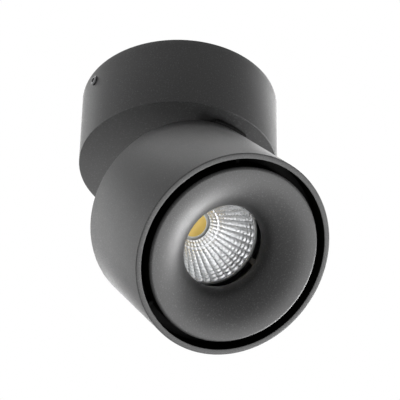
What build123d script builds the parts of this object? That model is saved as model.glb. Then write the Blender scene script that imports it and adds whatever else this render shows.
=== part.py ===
from build123d import *
from math import cos, hypot, radians, sin, sqrt
import os

os.makedirs("parts", exist_ok=True)

# Surface mounted ceiling spotlight: a round canopy under the ceiling, and below it a round head
# that swivels about the canopy's axis and tilts about a hinge pin near its rear rim.
# The origin is the middle of the ceiling face, +Z up, so the whole light hangs below Z = 0.
# X is the line of the two ceiling screws, Y the line of the two set screws of the canopy.

# ---------------------------------------------------------------- driving sizes (mm, degrees)
# pose in which the light is drawn
head_azimuth = 8.0           # turn of the head about Z, from +X
head_tilt = 40.0             # tilt of the head, 0 is closed and straight down

# canopy
canopy_radius = 42.5
canopy_height = 35.0
canopy_wall = 2.0
canopy_floor = 2.5
edge_break = 0.4             # small powder-coated edge radius
hex_sides = 6

# head
head_radius = 42.5           # at the front face
head_draft = 0.9             # the rear is this much slimmer in radius
head_length = 52.3
head_wall = 2.3
head_front_bore_depth = 12.0
closed_gap = 5.1             # canopy underside to the rear face of the head when closed

# tilt hinge
hinge_wall_clearance = 0.37  # nut to the wall of the head beside it
pivot_drop = 11.4            # canopy underside to the hinge pin
pin_radius = 1.25
eye_radius = 3.0
lug_radius = 3.4
pin_clearance = 0.05         # running fit of the pin in the bracket eyes
pin_seat = 0.01              # fit of the pin in the lug

# folded hinge bracket
bracket_thickness = 1.5
bracket_width = 16.0
bracket_hub_radius = 10.5
bracket_overhang = 1.7       # outer end past the pin, concentric with the canopy
ear_column_width = 6.8
ear_rim_clearance = 0.65     # ear column to the head's rim at full tilt
ear_bend_radius = 5.0
ear_throat_radius = 2.0

# swivel at the middle of the canopy floor
spindle_radius = 5.0
spindle_bore = 3.2
spindle_flange_radius = 8.5
spindle_flange_thickness = 1.2
spindle_end = 1.1            # thread standing above the nut
swivel_clearance = 0.1
slip_gap = 0.05              # between faces that turn on each other
slip_washer_thickness = 0.8
slip_washer_radius = 12.0
slip_washer_recess = 0.5
upper_washer_radius = 11.0
stop_washer_thickness = 1.2
stop_washer_radius = 9.0
stop_tab_width = 2.5
stop_tab_overhang = 1.5
stop_pin_circle = 14.0
stop_pin_radius = 1.0
stop_pin_height = 3.5
stop_pin_seat_depth = 1.5
wave_washer_thickness = 0.5
wave_washer_radius = 8.0
nut_across_flats = 14.0
nut_thickness = 3.0

# ceiling plate
plate_thickness = 1.5
plate_clearance = 0.4
plate_dish_radius = 13.0
plate_dish_depth = 1.5
plate_dish_slope = 1.5
plate_ear_width = 14.0
plate_ear_thickness = 2.5
plate_ear_edge = 3.3         # ear below the set screw
slot_spacing = 50.0
slot_width = 4.5
slot_length = 14.0
set_screw_drop = 6.2
set_screw_radius = 2.0
set_screw_length = 6.0
set_screw_stand_out = 1.0
set_screw_socket = 2.0
set_screw_socket_depth = 1.6
set_screw_chamfer = 0.3
set_screw_wall_clearance = 0.2
thread_clearance = 0.02

# rubber grommets
supply_hole_radius = 6.0
grommet_bore = 4.0
grommet_lip = 1.5
grommet_lip_thickness = 1.2
grommet_clearance = 0.05
groove_overcut = 1.0         # how far the groove's cut runs past the lip
lead_hole_radius = 3.6
lead_grommet_bore = 2.2
lead_hole_offset = 14.0

# driver
wiring_room = 20.5           # driver's long side to the canopy wall
driver_end_clearance = 5.2   # driver's corners to the canopy wall
driver_floor_gap = 2.85      # driver above the spindle's end
driver_top_gap = 1.0         # driver below the cable grommet
driver_base_height = 10.0
driver_wall = 1.6
driver_corner = 3.0
driver_post_radius = 3.2
driver_screw_inset = 4.2
standoff_radius = 3.0
driver_screw_radius = 1.25
driver_screw_bite = 5.0
screw_hole_clearance = 0.15
pan_head_radius = 2.5
pan_head_height = 1.6
driver_lid_rib = 0.8
driver_lid_rib_pitch = 6.0
driver_lid_rib_count = 7
driver_lid_rib_length = 28.0
driver_wire_slot_width = 14.0
driver_wire_slot_height = 4.0
board_rest_height = 2.0      # ribs that the driver's circuit board lies on
board_rest_width = 2.0
board_rest_spacing = 34.0
circuit_thickness = 1.6
circuit_clearance = 0.5
transformer_length = 16.0
transformer_width = 14.0
transformer_offset = -6.0
capacitor_radius = 4.0
component_gap = 1.2          # between the components and the lid
capacitor_offset = 14.0

# terminal block and earth screw on the canopy floor
terminal_pole_pitch = 8.6
terminal_poles = 3
terminal_width = 10.0
terminal_height = 12.0
terminal_gap = 4.0           # driver to terminal block
terminal_edge = 0.8
terminal_entry_radius = 1.7
terminal_entry_level = 4.6
terminal_well_radius = 2.1
terminal_well_depth = 5.0
terminal_screw_radius = 1.8
terminal_screw_height = 3.4
terminal_fixing_radius = 1.1
terminal_fixing_head = 2.0
terminal_fixing_head_height = 1.4
terminal_fixing_bite = 1.6
driver_slot = 0.6            # screwdriver slot in the small screws
driver_slot_depth = 0.7
earth_gap = 5.2              # driver to the head of the earth screw
earth_boss_radius = 4.5
earth_boss_height = 4.0
earth_screw_radius = 2.0
earth_head_radius = 3.8
earth_head_height = 2.6
earth_thread_length = 5.0

# inside of the head, depths are counted from the front face
ledge_width = 5.8            # ledge that the heat sink lies on
ledge_thickness = 3.0
ledge_slope = 3.0            # slant below the ledge
sink_clearance = 0.25
sink_base = 3.0
fin_gap = 0.4                # fins to the rear cover
fin_thickness = 1.4
fin_pitch = 5.0
fin_count = 15
fin_edge = 1.45
sink_screw_inset = 2.5       # from the inner edge of the ledge
sink_screw_count = 4
sink_screw_phase = 45.0
sink_screw_radius = 1.25
sink_screw_head = 2.2
sink_screw_head_height = 1.5
sink_screw_bite = 2.4
fin_setback = 0.8            # fins to the screws and the grommet between them
cover_recess = 1.2
cover_thickness = 1.5
cover_clearance = 0.2
cover_screw_inset = 6.3
cover_screw_count = 3        # on the half circle away from the hinge
cover_screw_phase = 90.0
cover_screw_arc = 180.0
cover_post_radius = 3.0
cover_screw_bite = 4.0
pocket_floor = 1.05          # heat sink left under the pocket that the bracket folds into
pocket_side_clearance = 0.6
pocket_clearance = 0.55
lug_clearance = 0.25         # between the lug and the floor of the pocket
washer_thickness = 0.5
washer_radius = 2.6
hinge_head_radius = 2.5
hinge_head_height = 1.5
hinge_socket = 1.7
hinge_nut_across_flats = 5.0
hinge_nut_thickness = 1.6
hinge_pin_end = 0.2
side_play = 0.1              # between the bracket ears and what stands beside them

# light source
board_side = 19.0
board_thickness = 1.0
pad_thickness = 0.3
emitter_radius = 5.8
emitter_thickness = 0.4
holder_edge = 0.8
holder_thickness = 2.5
holder_aperture = 8.2
holder_board_clearance = 0.15
holder_screw_gap = 3.9       # board's edge to the screws
holder_screw_count = 2
holder_screw_radius = 1.25
holder_screw_bite = 2.2
holder_head_radius = 2.4
holder_head_height = 1.5

# fluted reflector
flute_count = 33
flute_phase = 2.98           # angle of the middle of one flute from the tilt plane
mouth_radius = 18.2          # at the flute ridges
bowl_length = 15.6
kink_step = 2.3              # kink ring over the end ring
neck_length = 2.8
aperture_clearance = 0.7     # reflector's end in the holder's aperture
emitter_clearance = 0.3      # reflector's end in front of the emitter
reflector_wall = 0.9
flange_width = 1.3
flange_step = 0.4            # flange in front of the flutes
flange_thickness = 1.0
flute_sag = 0.16             # rise of one flute over its chord, as a share of the chord

# trumpet-shaped anti-glare baffle
shadow_gap = 3.4             # black gap between the housing and the baffle
lip_proud = 0.6
lip_round = 1.1
lip_wall = 1.4
throat_radius = 17.5
throat_depth = 12.6
baffle_wall = 1.5
skirt_depth = 9.0
leg_count = 3
leg_phase = 91.5
leg_width = 2.4
leg_embed = 1.24             # root of a leg inside the wall of the flare
leg_thickness = 1.2
leg_play = 0.2
leg_hook = 0.5
leg_hook_thickness = 0.8

# black ring between the baffle and the head
ring_clearance = 0.1
ring_seat = 0.5              # ring under the skirt
ring_rib_width = 1.6
ring_rib_front = 4.0
ring_rib_play = 0.3
gap_rib_phase = 331.5

# ---------------------------------------------------------------- radii of the head and place of the hinge
head_rear_radius = head_radius - head_draft
head_front_bore = head_radius - head_wall
head_bore = head_rear_radius - head_wall
ledge_radius = head_bore - ledge_width
sink_radius = head_bore - sink_clearance
fin_radius = sink_radius - fin_edge
sink_screw_circle = ledge_radius + sink_screw_inset
cover_screw_circle = head_bore - cover_screw_inset

ear_face = bracket_width / 2
washer_face = ear_face + side_play
pin_head_face = washer_face + washer_thickness
nut_end_face = pin_head_face + hinge_nut_thickness
pin_tail_face = nut_end_face + hinge_pin_end
nut_corner_radius = hinge_nut_across_flats / 2 / cos(radians(180 / hex_sides))
pivot_reach = sqrt(head_bore**2 - nut_end_face**2) - nut_corner_radius - hinge_wall_clearance
bracket_end_radius = pivot_reach + bracket_overhang
pocket_half_width = pin_tail_face + pocket_side_clearance

# ---------------------------------------------------------------- planes of the three bodies
underside_z = -canopy_height
floor_top_z = underside_z + canopy_floor
azimuth = radians(head_azimuth)
tilt = radians(head_tilt)

# the swivelling body: origin on the canopy's underside, X towards the hinge
swivel_plane = Plane(
    origin=(0, 0, underside_z), x_dir=(cos(azimuth), sin(azimuth), 0), z_dir=(0, 0, 1)
)
swivel_side = Plane(
    origin=swivel_plane.origin, x_dir=swivel_plane.x_dir, z_dir=-swivel_plane.y_dir
)

# the head: origin at the middle of its front face, Z towards its rear, X towards the hinge
pivot_depth = head_length - (pivot_drop - closed_gap)
pivot = swivel_plane.from_local_coords(Vector(pivot_reach, 0, -pivot_drop))
head_x = swivel_plane.x_dir * cos(tilt) + swivel_plane.z_dir * sin(tilt)
head_z = swivel_plane.z_dir * cos(tilt) - swivel_plane.x_dir * sin(tilt)
head_origin = pivot - head_x * pivot_reach - head_z * pivot_depth
head_plane = Plane(origin=head_origin, x_dir=head_x, z_dir=head_z)
head_side = Plane(origin=head_origin, x_dir=head_x, z_dir=-head_plane.y_dir)
head_axis = Axis(head_origin, head_z)

# ---------------------------------------------------------------- shared levels
canopy_bore = canopy_radius - canopy_wall
plate_radius = canopy_bore - plate_clearance
plate_ear_drop = set_screw_drop + plate_ear_edge
screw_level_z = -set_screw_drop

bracket_top = -(slip_washer_thickness - slip_washer_recess) - slip_gap
bracket_bottom = bracket_top - bracket_thickness
stop_washer_level = canopy_floor + slip_washer_thickness + slip_gap
wave_washer_level = stop_washer_level + stop_washer_thickness
nut_level = wave_washer_level + wave_washer_thickness
spindle_top = nut_level + nut_thickness + spindle_end

rear_to_pivot = head_length - pivot_depth
ear_column_outer = pivot_reach - rear_to_pivot - ear_rim_clearance
ear_column_inner = ear_column_outer - ear_column_width
ear_sweep = hypot(pivot_reach - ear_column_inner, eye_radius)
pocket_inner = pivot_reach - ear_sweep - pocket_clearance
pocket_depth = pivot_depth - lug_radius - lug_clearance
seat_depth = pocket_depth - pocket_floor
lug_half_width = ear_face - bracket_thickness - side_play

cover_depth = head_length - cover_recess - cover_thickness
fin_height = cover_depth - fin_gap - sink_base - seat_depth
sink_screw_spots = PolarLocations(sink_screw_circle, sink_screw_count, sink_screw_phase)
pad_depth = seat_depth - pad_thickness
board_depth = pad_depth - board_thickness
holder_depth = seat_depth - holder_thickness
holder_screw_circle = board_side / 2 + holder_screw_gap
holder_radius = holder_screw_circle + holder_head_radius + holder_edge

end_radius = holder_aperture - aperture_clearance - reflector_wall
kink_radius = end_radius + kink_step
end_depth = board_depth - emitter_thickness - emitter_clearance
kink_depth = end_depth - neck_length
mouth_depth = kink_depth - bowl_length
flange_depth = mouth_depth - flange_step
flange_radius = mouth_radius + flange_width

lip_radius = head_front_bore - shadow_gap
flare_radius = lip_radius - lip_wall
ring_inner_radius = flare_radius - ring_seat

driver_width = 2 * (canopy_bore - wiring_room)
driver_length = 2 * (sqrt(canopy_bore**2 - (driver_width / 2) ** 2) - driver_end_clearance)
standoff_height = spindle_top - canopy_floor + driver_floor_gap
driver_ceiling = plate_dish_depth + plate_thickness + grommet_lip_thickness + driver_top_gap + driver_lid_rib
driver_height = canopy_height - canopy_floor - standoff_height - driver_ceiling
driver_lid_height = driver_height - driver_base_height
circuit_level = driver_wall + board_rest_height
component_height = driver_height - driver_wall - circuit_level - circuit_thickness - component_gap
driver_base_z = floor_top_z + standoff_height
driver_lid_z = driver_base_z + driver_base_height
driver_top_z = driver_lid_z + driver_lid_height
driver_screw_x = driver_length - 2 * driver_screw_inset
driver_screw_y = driver_width - 2 * driver_screw_inset
terminal_length = terminal_pole_pitch * terminal_poles
terminal_offset = driver_width / 2 + terminal_gap + terminal_width / 2
earth_offset = driver_width / 2 + earth_gap + earth_head_radius


def save(part, name):
    part.label = name
    export_step(part, f"parts/{name}.step")


# ================================================================ fixed body, at the ceiling

# pressed steel plate: flat against the ceiling, dished in the middle, ears bent down for the set screws
with BuildPart() as ceiling_plate:
    with BuildSketch(Plane.XZ):
        with BuildLine():
            Polyline(
                (supply_hole_radius, -plate_dish_depth),
                (plate_dish_radius, -plate_dish_depth),
                (plate_dish_radius + plate_dish_slope, 0),
                (plate_radius, 0),
                (plate_radius, -plate_thickness),
                (plate_dish_radius + plate_dish_slope, -plate_thickness),
                (plate_dish_radius, -plate_dish_depth - plate_thickness),
                (supply_hole_radius, -plate_dish_depth - plate_thickness),
                close=True,
            )
        make_face()
    revolve(axis=Axis.Z)
    with BuildSketch(Plane.XY):
        Circle(plate_radius)
        Circle(plate_radius - plate_ear_thickness, mode=Mode.SUBTRACT)
        Rectangle(plate_ear_width, 2 * plate_radius, mode=Mode.INTERSECT)
    extrude(amount=-plate_ear_drop)
    with BuildSketch(Plane.XY):
        with GridLocations(slot_spacing, 0, 2, 1):
            SlotOverall(slot_length, slot_width)
    extrude(amount=-plate_thickness, mode=Mode.SUBTRACT)
    with BuildSketch(Plane.XZ.offset(-plate_radius)):
        with Locations((0, screw_level_z)):
            Circle(set_screw_radius + thread_clearance)
    extrude(amount=2 * plate_radius, mode=Mode.SUBTRACT)
save(ceiling_plate.part, "ceiling_plate")

# rubber grommet for the supply cable, held by the edge of the hole in the dish
supply_plate_top = -plate_dish_depth
supply_plate_bottom = supply_plate_top - plate_thickness
with BuildPart() as cable_grommet:
    with BuildSketch(Plane.XY.offset(supply_plate_bottom - grommet_lip_thickness)):
        Circle(supply_hole_radius + grommet_lip)
    extrude(amount=plate_thickness + 2 * grommet_lip_thickness)
    with BuildSketch(Plane.XY.offset(supply_plate_bottom)):
        Circle(supply_hole_radius + grommet_lip + groove_overcut)
        Circle(supply_hole_radius - grommet_clearance, mode=Mode.SUBTRACT)
    extrude(amount=plate_thickness, mode=Mode.SUBTRACT)
    with BuildSketch(Plane.XY.offset(supply_plate_bottom - grommet_lip_thickness)):
        Circle(grommet_bore)
    extrude(amount=plate_thickness + 2 * grommet_lip_thickness, mode=Mode.SUBTRACT)
save(cable_grommet.part, "cable_grommet")

# canopy: a turned cup, open to the ceiling, with the swivel hole in its floor
with BuildPart() as canopy_shell:
    with BuildSketch(Plane.XY.offset(underside_z)):
        Circle(canopy_radius)
    extrude(amount=canopy_height)
    with BuildSketch(Plane.XY.offset(floor_top_z)):
        Circle(canopy_bore)
    extrude(amount=canopy_height - canopy_floor, mode=Mode.SUBTRACT)
    rims = canopy_shell.edges().filter_by(GeomType.CIRCLE).filter_by(
        lambda edge: edge.radius > canopy_bore + canopy_wall / 2
    )
    fillet(rims, edge_break)
    with BuildSketch(Plane.XY.offset(floor_top_z)):
        with Locations((0, -earth_offset)):
            Circle(earth_boss_radius)
    extrude(amount=earth_boss_height)
    # swivel hole, and the recess of the lower slip washer
    with BuildSketch(Plane.XY.offset(underside_z)):
        Circle(spindle_radius + swivel_clearance)
    extrude(amount=canopy_floor, mode=Mode.SUBTRACT)
    with BuildSketch(Plane.XY.offset(underside_z)):
        Circle(slip_washer_radius + swivel_clearance)
    extrude(amount=slip_washer_recess, mode=Mode.SUBTRACT)
    # blind holes for the stop pin, the earth screw and the terminal's fixing screws
    with BuildSketch(swivel_plane.offset(canopy_floor)):
        with Locations((-stop_pin_circle, 0)):
            Circle(stop_pin_radius + thread_clearance)
    extrude(amount=-stop_pin_seat_depth, mode=Mode.SUBTRACT)
    with BuildSketch(Plane.XY.offset(floor_top_z + earth_boss_height)):
        with Locations((0, -earth_offset)):
            Circle(earth_screw_radius + thread_clearance)
    extrude(amount=-earth_thread_length, mode=Mode.SUBTRACT)
    with BuildSketch(Plane.XY.offset(floor_top_z)):
        with Locations((0, terminal_offset)):
            with GridLocations(terminal_pole_pitch, 0, terminal_poles - 1, 1):
                Circle(terminal_fixing_radius + thread_clearance)
    extrude(amount=-terminal_fixing_bite, mode=Mode.SUBTRACT)
    # clearance holes for the two set screws in the wall
    with BuildSketch(Plane.XZ.offset(-canopy_radius)):
        with Locations((0, screw_level_z)):
            Circle(set_screw_radius + set_screw_wall_clearance)
    extrude(amount=2 * canopy_radius, mode=Mode.SUBTRACT)
save(canopy_shell.part, "canopy_shell")

# two socket set screws that clamp the canopy to the ears of the plate
with BuildPart() as canopy_set_screws:
    for side in (-1, 1):
        screw_face = Plane(
            origin=(0, side * (canopy_radius + set_screw_stand_out), screw_level_z),
            x_dir=(1, 0, 0),
            z_dir=(0, side, 0),
        )
        with BuildSketch(screw_face):
            Circle(set_screw_radius)
        screw = extrude(amount=-set_screw_length)
        chamfer(screw.edges().group_by(SortBy.DISTANCE)[-1].filter_by(GeomType.CIRCLE), set_screw_chamfer)
        with BuildSketch(screw_face):
            RegularPolygon(set_screw_socket / 2, hex_sides, major_radius=False)
        extrude(amount=-set_screw_socket_depth, mode=Mode.SUBTRACT)
save(canopy_set_screws.part, "canopy_set_screws")

# driver on four standoffs above the swivel nut
driver_screw_spots = GridLocations(driver_screw_x, driver_screw_y, 2, 2)
with BuildPart() as driver_standoffs:
    with BuildSketch(Plane.XY.offset(floor_top_z)):
        with driver_screw_spots:
            RegularPolygon(standoff_radius, hex_sides)
    extrude(amount=standoff_height)
    with BuildSketch(Plane.XY.offset(driver_base_z)):
        with driver_screw_spots:
            Circle(driver_screw_radius + thread_clearance)
    extrude(amount=-driver_screw_bite, mode=Mode.SUBTRACT)
save(driver_standoffs.part, "driver_standoffs")

with BuildPart() as driver_base:
    with BuildSketch(Plane.XY.offset(driver_base_z)):
        RectangleRounded(driver_length, driver_width, driver_corner)
    extrude(amount=driver_base_height)
    with BuildSketch(Plane.XY.offset(driver_base_z + driver_wall)):
        RectangleRounded(
            driver_length - 2 * driver_wall, driver_width - 2 * driver_wall, driver_corner - driver_wall
        )
    extrude(amount=driver_base_height - driver_wall, mode=Mode.SUBTRACT)
    with BuildSketch(Plane.XY.offset(driver_base_z)):
        with driver_screw_spots:
            Circle(driver_post_radius)
    extrude(amount=driver_base_height)
    with BuildSketch(Plane.XY.offset(driver_base_z)):
        with driver_screw_spots:
            Circle(driver_screw_radius + screw_hole_clearance)
    extrude(amount=driver_base_height, mode=Mode.SUBTRACT)
    with BuildSketch(Plane.XY.offset(driver_base_z + driver_wall)):
        with GridLocations(board_rest_spacing, 0, 2, 1):
            Rectangle(board_rest_width, driver_width - 2 * driver_wall)
    extrude(amount=board_rest_height)
    # notch for the wires in the long wall next to the terminal block
    with BuildSketch(Plane.XZ.offset(-driver_width / 2)):
        with Locations((0, driver_lid_z)):
            Rectangle(driver_wire_slot_width, 2 * driver_wire_slot_height)
    extrude(amount=driver_wall, mode=Mode.SUBTRACT)
save(driver_base.part, "driver_base")

# circuit board with its transformer and capacitor, notched round the screw posts
circuit_z = driver_base_z + circuit_level
circuit_face = Plane.XY.offset(circuit_z + circuit_thickness)
with BuildPart() as driver_board:
    with BuildSketch(Plane.XY.offset(circuit_z)):
        Rectangle(
            driver_length - 2 * (driver_wall + circuit_clearance),
            driver_width - 2 * (driver_wall + circuit_clearance),
        )
        with driver_screw_spots:
            Circle(driver_post_radius + circuit_clearance, mode=Mode.SUBTRACT)
    extrude(amount=circuit_thickness)
    with BuildSketch(circuit_face):
        with Locations((transformer_offset, 0)):
            Rectangle(transformer_length, transformer_width)
    extrude(amount=component_height)
    with BuildSketch(circuit_face):
        with Locations((capacitor_offset, 0)):
            Circle(capacitor_radius)
    extrude(amount=component_height)
save(driver_board.part, "driver_board")

with BuildPart() as driver_lid:
    with BuildSketch(Plane.XY.offset(driver_lid_z)):
        RectangleRounded(driver_length, driver_width, driver_corner)
    extrude(amount=driver_lid_height)
    with BuildSketch(Plane.XY.offset(driver_lid_z)):
        RectangleRounded(
            driver_length - 2 * driver_wall, driver_width - 2 * driver_wall, driver_corner - driver_wall
        )
    extrude(amount=driver_lid_height - driver_wall, mode=Mode.SUBTRACT)
    with BuildSketch(Plane.XY.offset(driver_lid_z)):
        with driver_screw_spots:
            Circle(driver_post_radius)
    extrude(amount=driver_lid_height)
    with BuildSketch(Plane.XY.offset(driver_lid_z)):
        with driver_screw_spots:
            Circle(driver_screw_radius + screw_hole_clearance)
    extrude(amount=driver_lid_height, mode=Mode.SUBTRACT)
    with BuildSketch(Plane.XY.offset(driver_top_z)):
        with GridLocations(driver_lid_rib_pitch, 0, driver_lid_rib_count, 1):
            Rectangle(driver_lid_rib, driver_lid_rib_length)
    extrude(amount=driver_lid_rib)
save(driver_lid.part, "driver_lid")

driver_screw_length = driver_base_height + driver_lid_height + driver_screw_bite
with BuildPart() as driver_screws:
    with BuildSketch(Plane.XY.offset(driver_top_z)):
        with driver_screw_spots:
            Circle(driver_screw_radius)
    extrude(amount=-driver_screw_length)
    with BuildSketch(Plane.XY.offset(driver_top_z)):
        with driver_screw_spots:
            Circle(pan_head_radius)
    extrude(amount=pan_head_height)
    with BuildSketch(Plane.XY.offset(driver_top_z + pan_head_height)):
        with driver_screw_spots:
            Rectangle(2 * driver_screw_radius, driver_slot)
            Rectangle(driver_slot, 2 * driver_screw_radius)
    extrude(amount=-driver_slot_depth, mode=Mode.SUBTRACT)
save(driver_screws.part, "driver_screws")

# terminal block: one well and one wire tunnel for each pole, fixed between the poles
terminal_top_z = floor_top_z + terminal_height
terminal_plane = Plane.XY.offset(terminal_top_z)
with BuildPart() as terminal_block:
    with BuildSketch(Plane.XY.offset(floor_top_z)):
        with Locations((0, terminal_offset)):
            Rectangle(terminal_length, terminal_width)
    extrude(amount=terminal_height)
    fillet(terminal_block.edges().filter_by(Axis.Z), terminal_edge)
    with BuildSketch(terminal_plane):
        with Locations((0, terminal_offset)):
            with GridLocations(terminal_pole_pitch, 0, terminal_poles, 1):
                Circle(terminal_well_radius)
    extrude(amount=-terminal_well_depth, mode=Mode.SUBTRACT)
    with BuildSketch(Plane.XZ.offset(-terminal_offset - terminal_width / 2)):
        with Locations((0, floor_top_z + terminal_entry_level)):
            with GridLocations(terminal_pole_pitch, 0, terminal_poles, 1):
                Circle(terminal_entry_radius)
    extrude(amount=terminal_width, mode=Mode.SUBTRACT)
    with BuildSketch(terminal_plane):
        with Locations((0, terminal_offset)):
            with GridLocations(terminal_pole_pitch, 0, terminal_poles - 1, 1):
                Circle(terminal_fixing_radius + screw_hole_clearance)
    extrude(amount=-terminal_height, mode=Mode.SUBTRACT)
save(terminal_block.part, "terminal_block")

with BuildPart() as terminal_clamp_screws:
    well_floor = Plane.XY.offset(terminal_top_z - terminal_well_depth)
    with BuildSketch(well_floor):
        with Locations((0, terminal_offset)):
            with GridLocations(terminal_pole_pitch, 0, terminal_poles, 1):
                Circle(terminal_screw_radius)
    extrude(amount=terminal_screw_height)
    with BuildSketch(well_floor.offset(terminal_screw_height)):
        with Locations((0, terminal_offset)):
            with GridLocations(terminal_pole_pitch, 0, terminal_poles, 1):
                Rectangle(2 * terminal_screw_radius, driver_slot)
    extrude(amount=-driver_slot_depth, mode=Mode.SUBTRACT)
save(terminal_clamp_screws.part, "terminal_clamp_screws")

with BuildPart() as terminal_fixing_screws:
    with BuildSketch(terminal_plane):
        with Locations((0, terminal_offset)):
            with GridLocations(terminal_pole_pitch, 0, terminal_poles - 1, 1):
                Circle(terminal_fixing_radius)
    extrude(amount=-terminal_height - terminal_fixing_bite)
    with BuildSketch(terminal_plane):
        with Locations((0, terminal_offset)):
            with GridLocations(terminal_pole_pitch, 0, terminal_poles - 1, 1):
                Circle(terminal_fixing_head)
    extrude(amount=terminal_fixing_head_height)
    with BuildSketch(terminal_plane.offset(terminal_fixing_head_height)):
        with Locations((0, terminal_offset)):
            with GridLocations(terminal_pole_pitch, 0, terminal_poles - 1, 1):
                Rectangle(2 * terminal_fixing_radius, driver_slot)
    extrude(amount=-driver_slot_depth, mode=Mode.SUBTRACT)
save(terminal_fixing_screws.part, "terminal_fixing_screws")

earth_plane = Plane.XY.offset(floor_top_z + earth_boss_height)
with BuildPart() as earth_screw:
    with BuildSketch(earth_plane):
        with Locations((0, -earth_offset)):
            Circle(earth_screw_radius)
    extrude(amount=-earth_thread_length)
    with BuildSketch(earth_plane):
        with Locations((0, -earth_offset)):
            Circle(earth_head_radius)
    extrude(amount=earth_head_height)
    with BuildSketch(earth_plane.offset(earth_head_height)):
        with Locations((0, -earth_offset)):
            Rectangle(2 * earth_screw_radius, driver_slot)
            Rectangle(driver_slot, 2 * earth_screw_radius)
    extrude(amount=-driver_slot_depth, mode=Mode.SUBTRACT)
save(earth_screw.part, "earth_screw")

# pin that stops the swivel short of a full turn, opposite the head's middle position
with BuildPart() as swivel_stop_pin:
    with BuildSketch(swivel_plane.offset(canopy_floor - stop_pin_seat_depth)):
        with Locations((-stop_pin_circle, 0)):
            Circle(stop_pin_radius)
    extrude(amount=stop_pin_seat_depth + stop_pin_height)
save(swivel_stop_pin.part, "swivel_stop_pin")

with BuildPart() as slip_washer_lower:
    with BuildSketch(swivel_plane.offset(slip_washer_recess)):
        Circle(slip_washer_radius)
        Circle(spindle_radius + swivel_clearance, mode=Mode.SUBTRACT)
    extrude(amount=-slip_washer_thickness)
save(slip_washer_lower.part, "slip_washer_lower")

with BuildPart() as slip_washer_upper:
    with BuildSketch(swivel_plane.offset(canopy_floor)):
        Circle(upper_washer_radius)
        Circle(spindle_radius + swivel_clearance, mode=Mode.SUBTRACT)
    extrude(amount=slip_washer_thickness)
save(slip_washer_upper.part, "slip_washer_upper")

# ================================================================ swivelling body

# hollow spindle: the lead to the head runs through its bore
with BuildPart() as swivel_spindle:
    with BuildSketch(swivel_plane.offset(bracket_bottom)):
        Circle(spindle_radius)
    extrude(amount=spindle_top - bracket_bottom)
    with BuildSketch(swivel_plane.offset(bracket_bottom)):
        Circle(spindle_flange_radius)
    extrude(amount=-spindle_flange_thickness)
    fillet(swivel_spindle.edges().group_by(Axis.Z)[0], edge_break)
    with BuildSketch(swivel_plane.offset(spindle_top)):
        Circle(spindle_bore)
    extrude(amount=-(spindle_top - bracket_bottom + spindle_flange_thickness), mode=Mode.SUBTRACT)
save(swivel_spindle.part, "swivel_spindle")

# folded bracket: a flat arm under the canopy with an end concentric to it, and two hooked ears that
# reach round the head's rim to the hinge pin, so that the rim stays whole through the full tilt
eye_centre = (pivot_reach, -pivot_drop)
with BuildPart() as hinge_bracket:
    with BuildSketch(swivel_plane.offset(bracket_bottom)):
        Circle(bracket_hub_radius)
        with Locations((bracket_end_radius / 2, 0)):
            Rectangle(bracket_end_radius, bracket_width)
        Circle(bracket_end_radius, mode=Mode.INTERSECT)
    extrude(amount=bracket_thickness)
    for side in (-1, 1):
        outer_face = swivel_side.offset(side * ear_face)
        with BuildSketch(outer_face) as ear_profile:
            with Locations(((ear_column_inner + ear_column_outer) / 2, (bracket_top - pivot_drop) / 2)):
                Rectangle(ear_column_width, pivot_drop + bracket_top)
            with Locations(((ear_column_inner + pivot_reach) / 2, -pivot_drop)):
                Rectangle(pivot_reach - ear_column_inner, 2 * eye_radius)
            with Locations(eye_centre):
                Circle(eye_radius)
            corners = ear_profile.vertices()
            bend = corners.sort_by_distance((ear_column_inner, -pivot_drop - eye_radius))[0]
            throat = corners.sort_by_distance((ear_column_outer, -pivot_drop + eye_radius))[0]
            fillet(bend, ear_bend_radius)
            fillet(throat, ear_throat_radius)
            with Locations(eye_centre):
                Circle(pin_radius + pin_clearance, mode=Mode.SUBTRACT)
        extrude(amount=-side * bracket_thickness)
    with BuildSketch(swivel_plane.offset(bracket_bottom)):
        Circle(spindle_radius + pin_seat)
    extrude(amount=bracket_thickness, mode=Mode.SUBTRACT)
save(hinge_bracket.part, "hinge_bracket")

# keyed washer whose tab meets the stop pin
with BuildPart() as stop_washer:
    with BuildSketch(swivel_plane.offset(stop_washer_level)):
        Circle(stop_washer_radius)
        with Locations(((stop_pin_circle + stop_tab_overhang) / 2, 0)):
            Rectangle(stop_pin_circle + stop_tab_overhang, stop_tab_width)
        Circle(spindle_radius + pin_seat, mode=Mode.SUBTRACT)
    extrude(amount=stop_washer_thickness)
save(stop_washer.part, "stop_washer")

with BuildPart() as wave_washer:
    with BuildSketch(swivel_plane.offset(wave_washer_level)):
        Circle(wave_washer_radius)
        Circle(spindle_radius + swivel_clearance, mode=Mode.SUBTRACT)
    extrude(amount=wave_washer_thickness)
save(wave_washer.part, "wave_washer")

with BuildPart() as swivel_nut:
    with BuildSketch(swivel_plane.offset(nut_level)):
        RegularPolygon(nut_across_flats / 2, hex_sides, major_radius=False)
        Circle(spindle_radius + pin_seat, mode=Mode.SUBTRACT)
    extrude(amount=nut_thickness)
save(swivel_nut.part, "swivel_nut")

# ================================================================ tilting head

# pocket behind the rim that the bracket folds into, cut from what lies inside the head
pocket_length = head_radius - pocket_inner
pocket_middle = pocket_inner + pocket_length / 2

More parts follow.
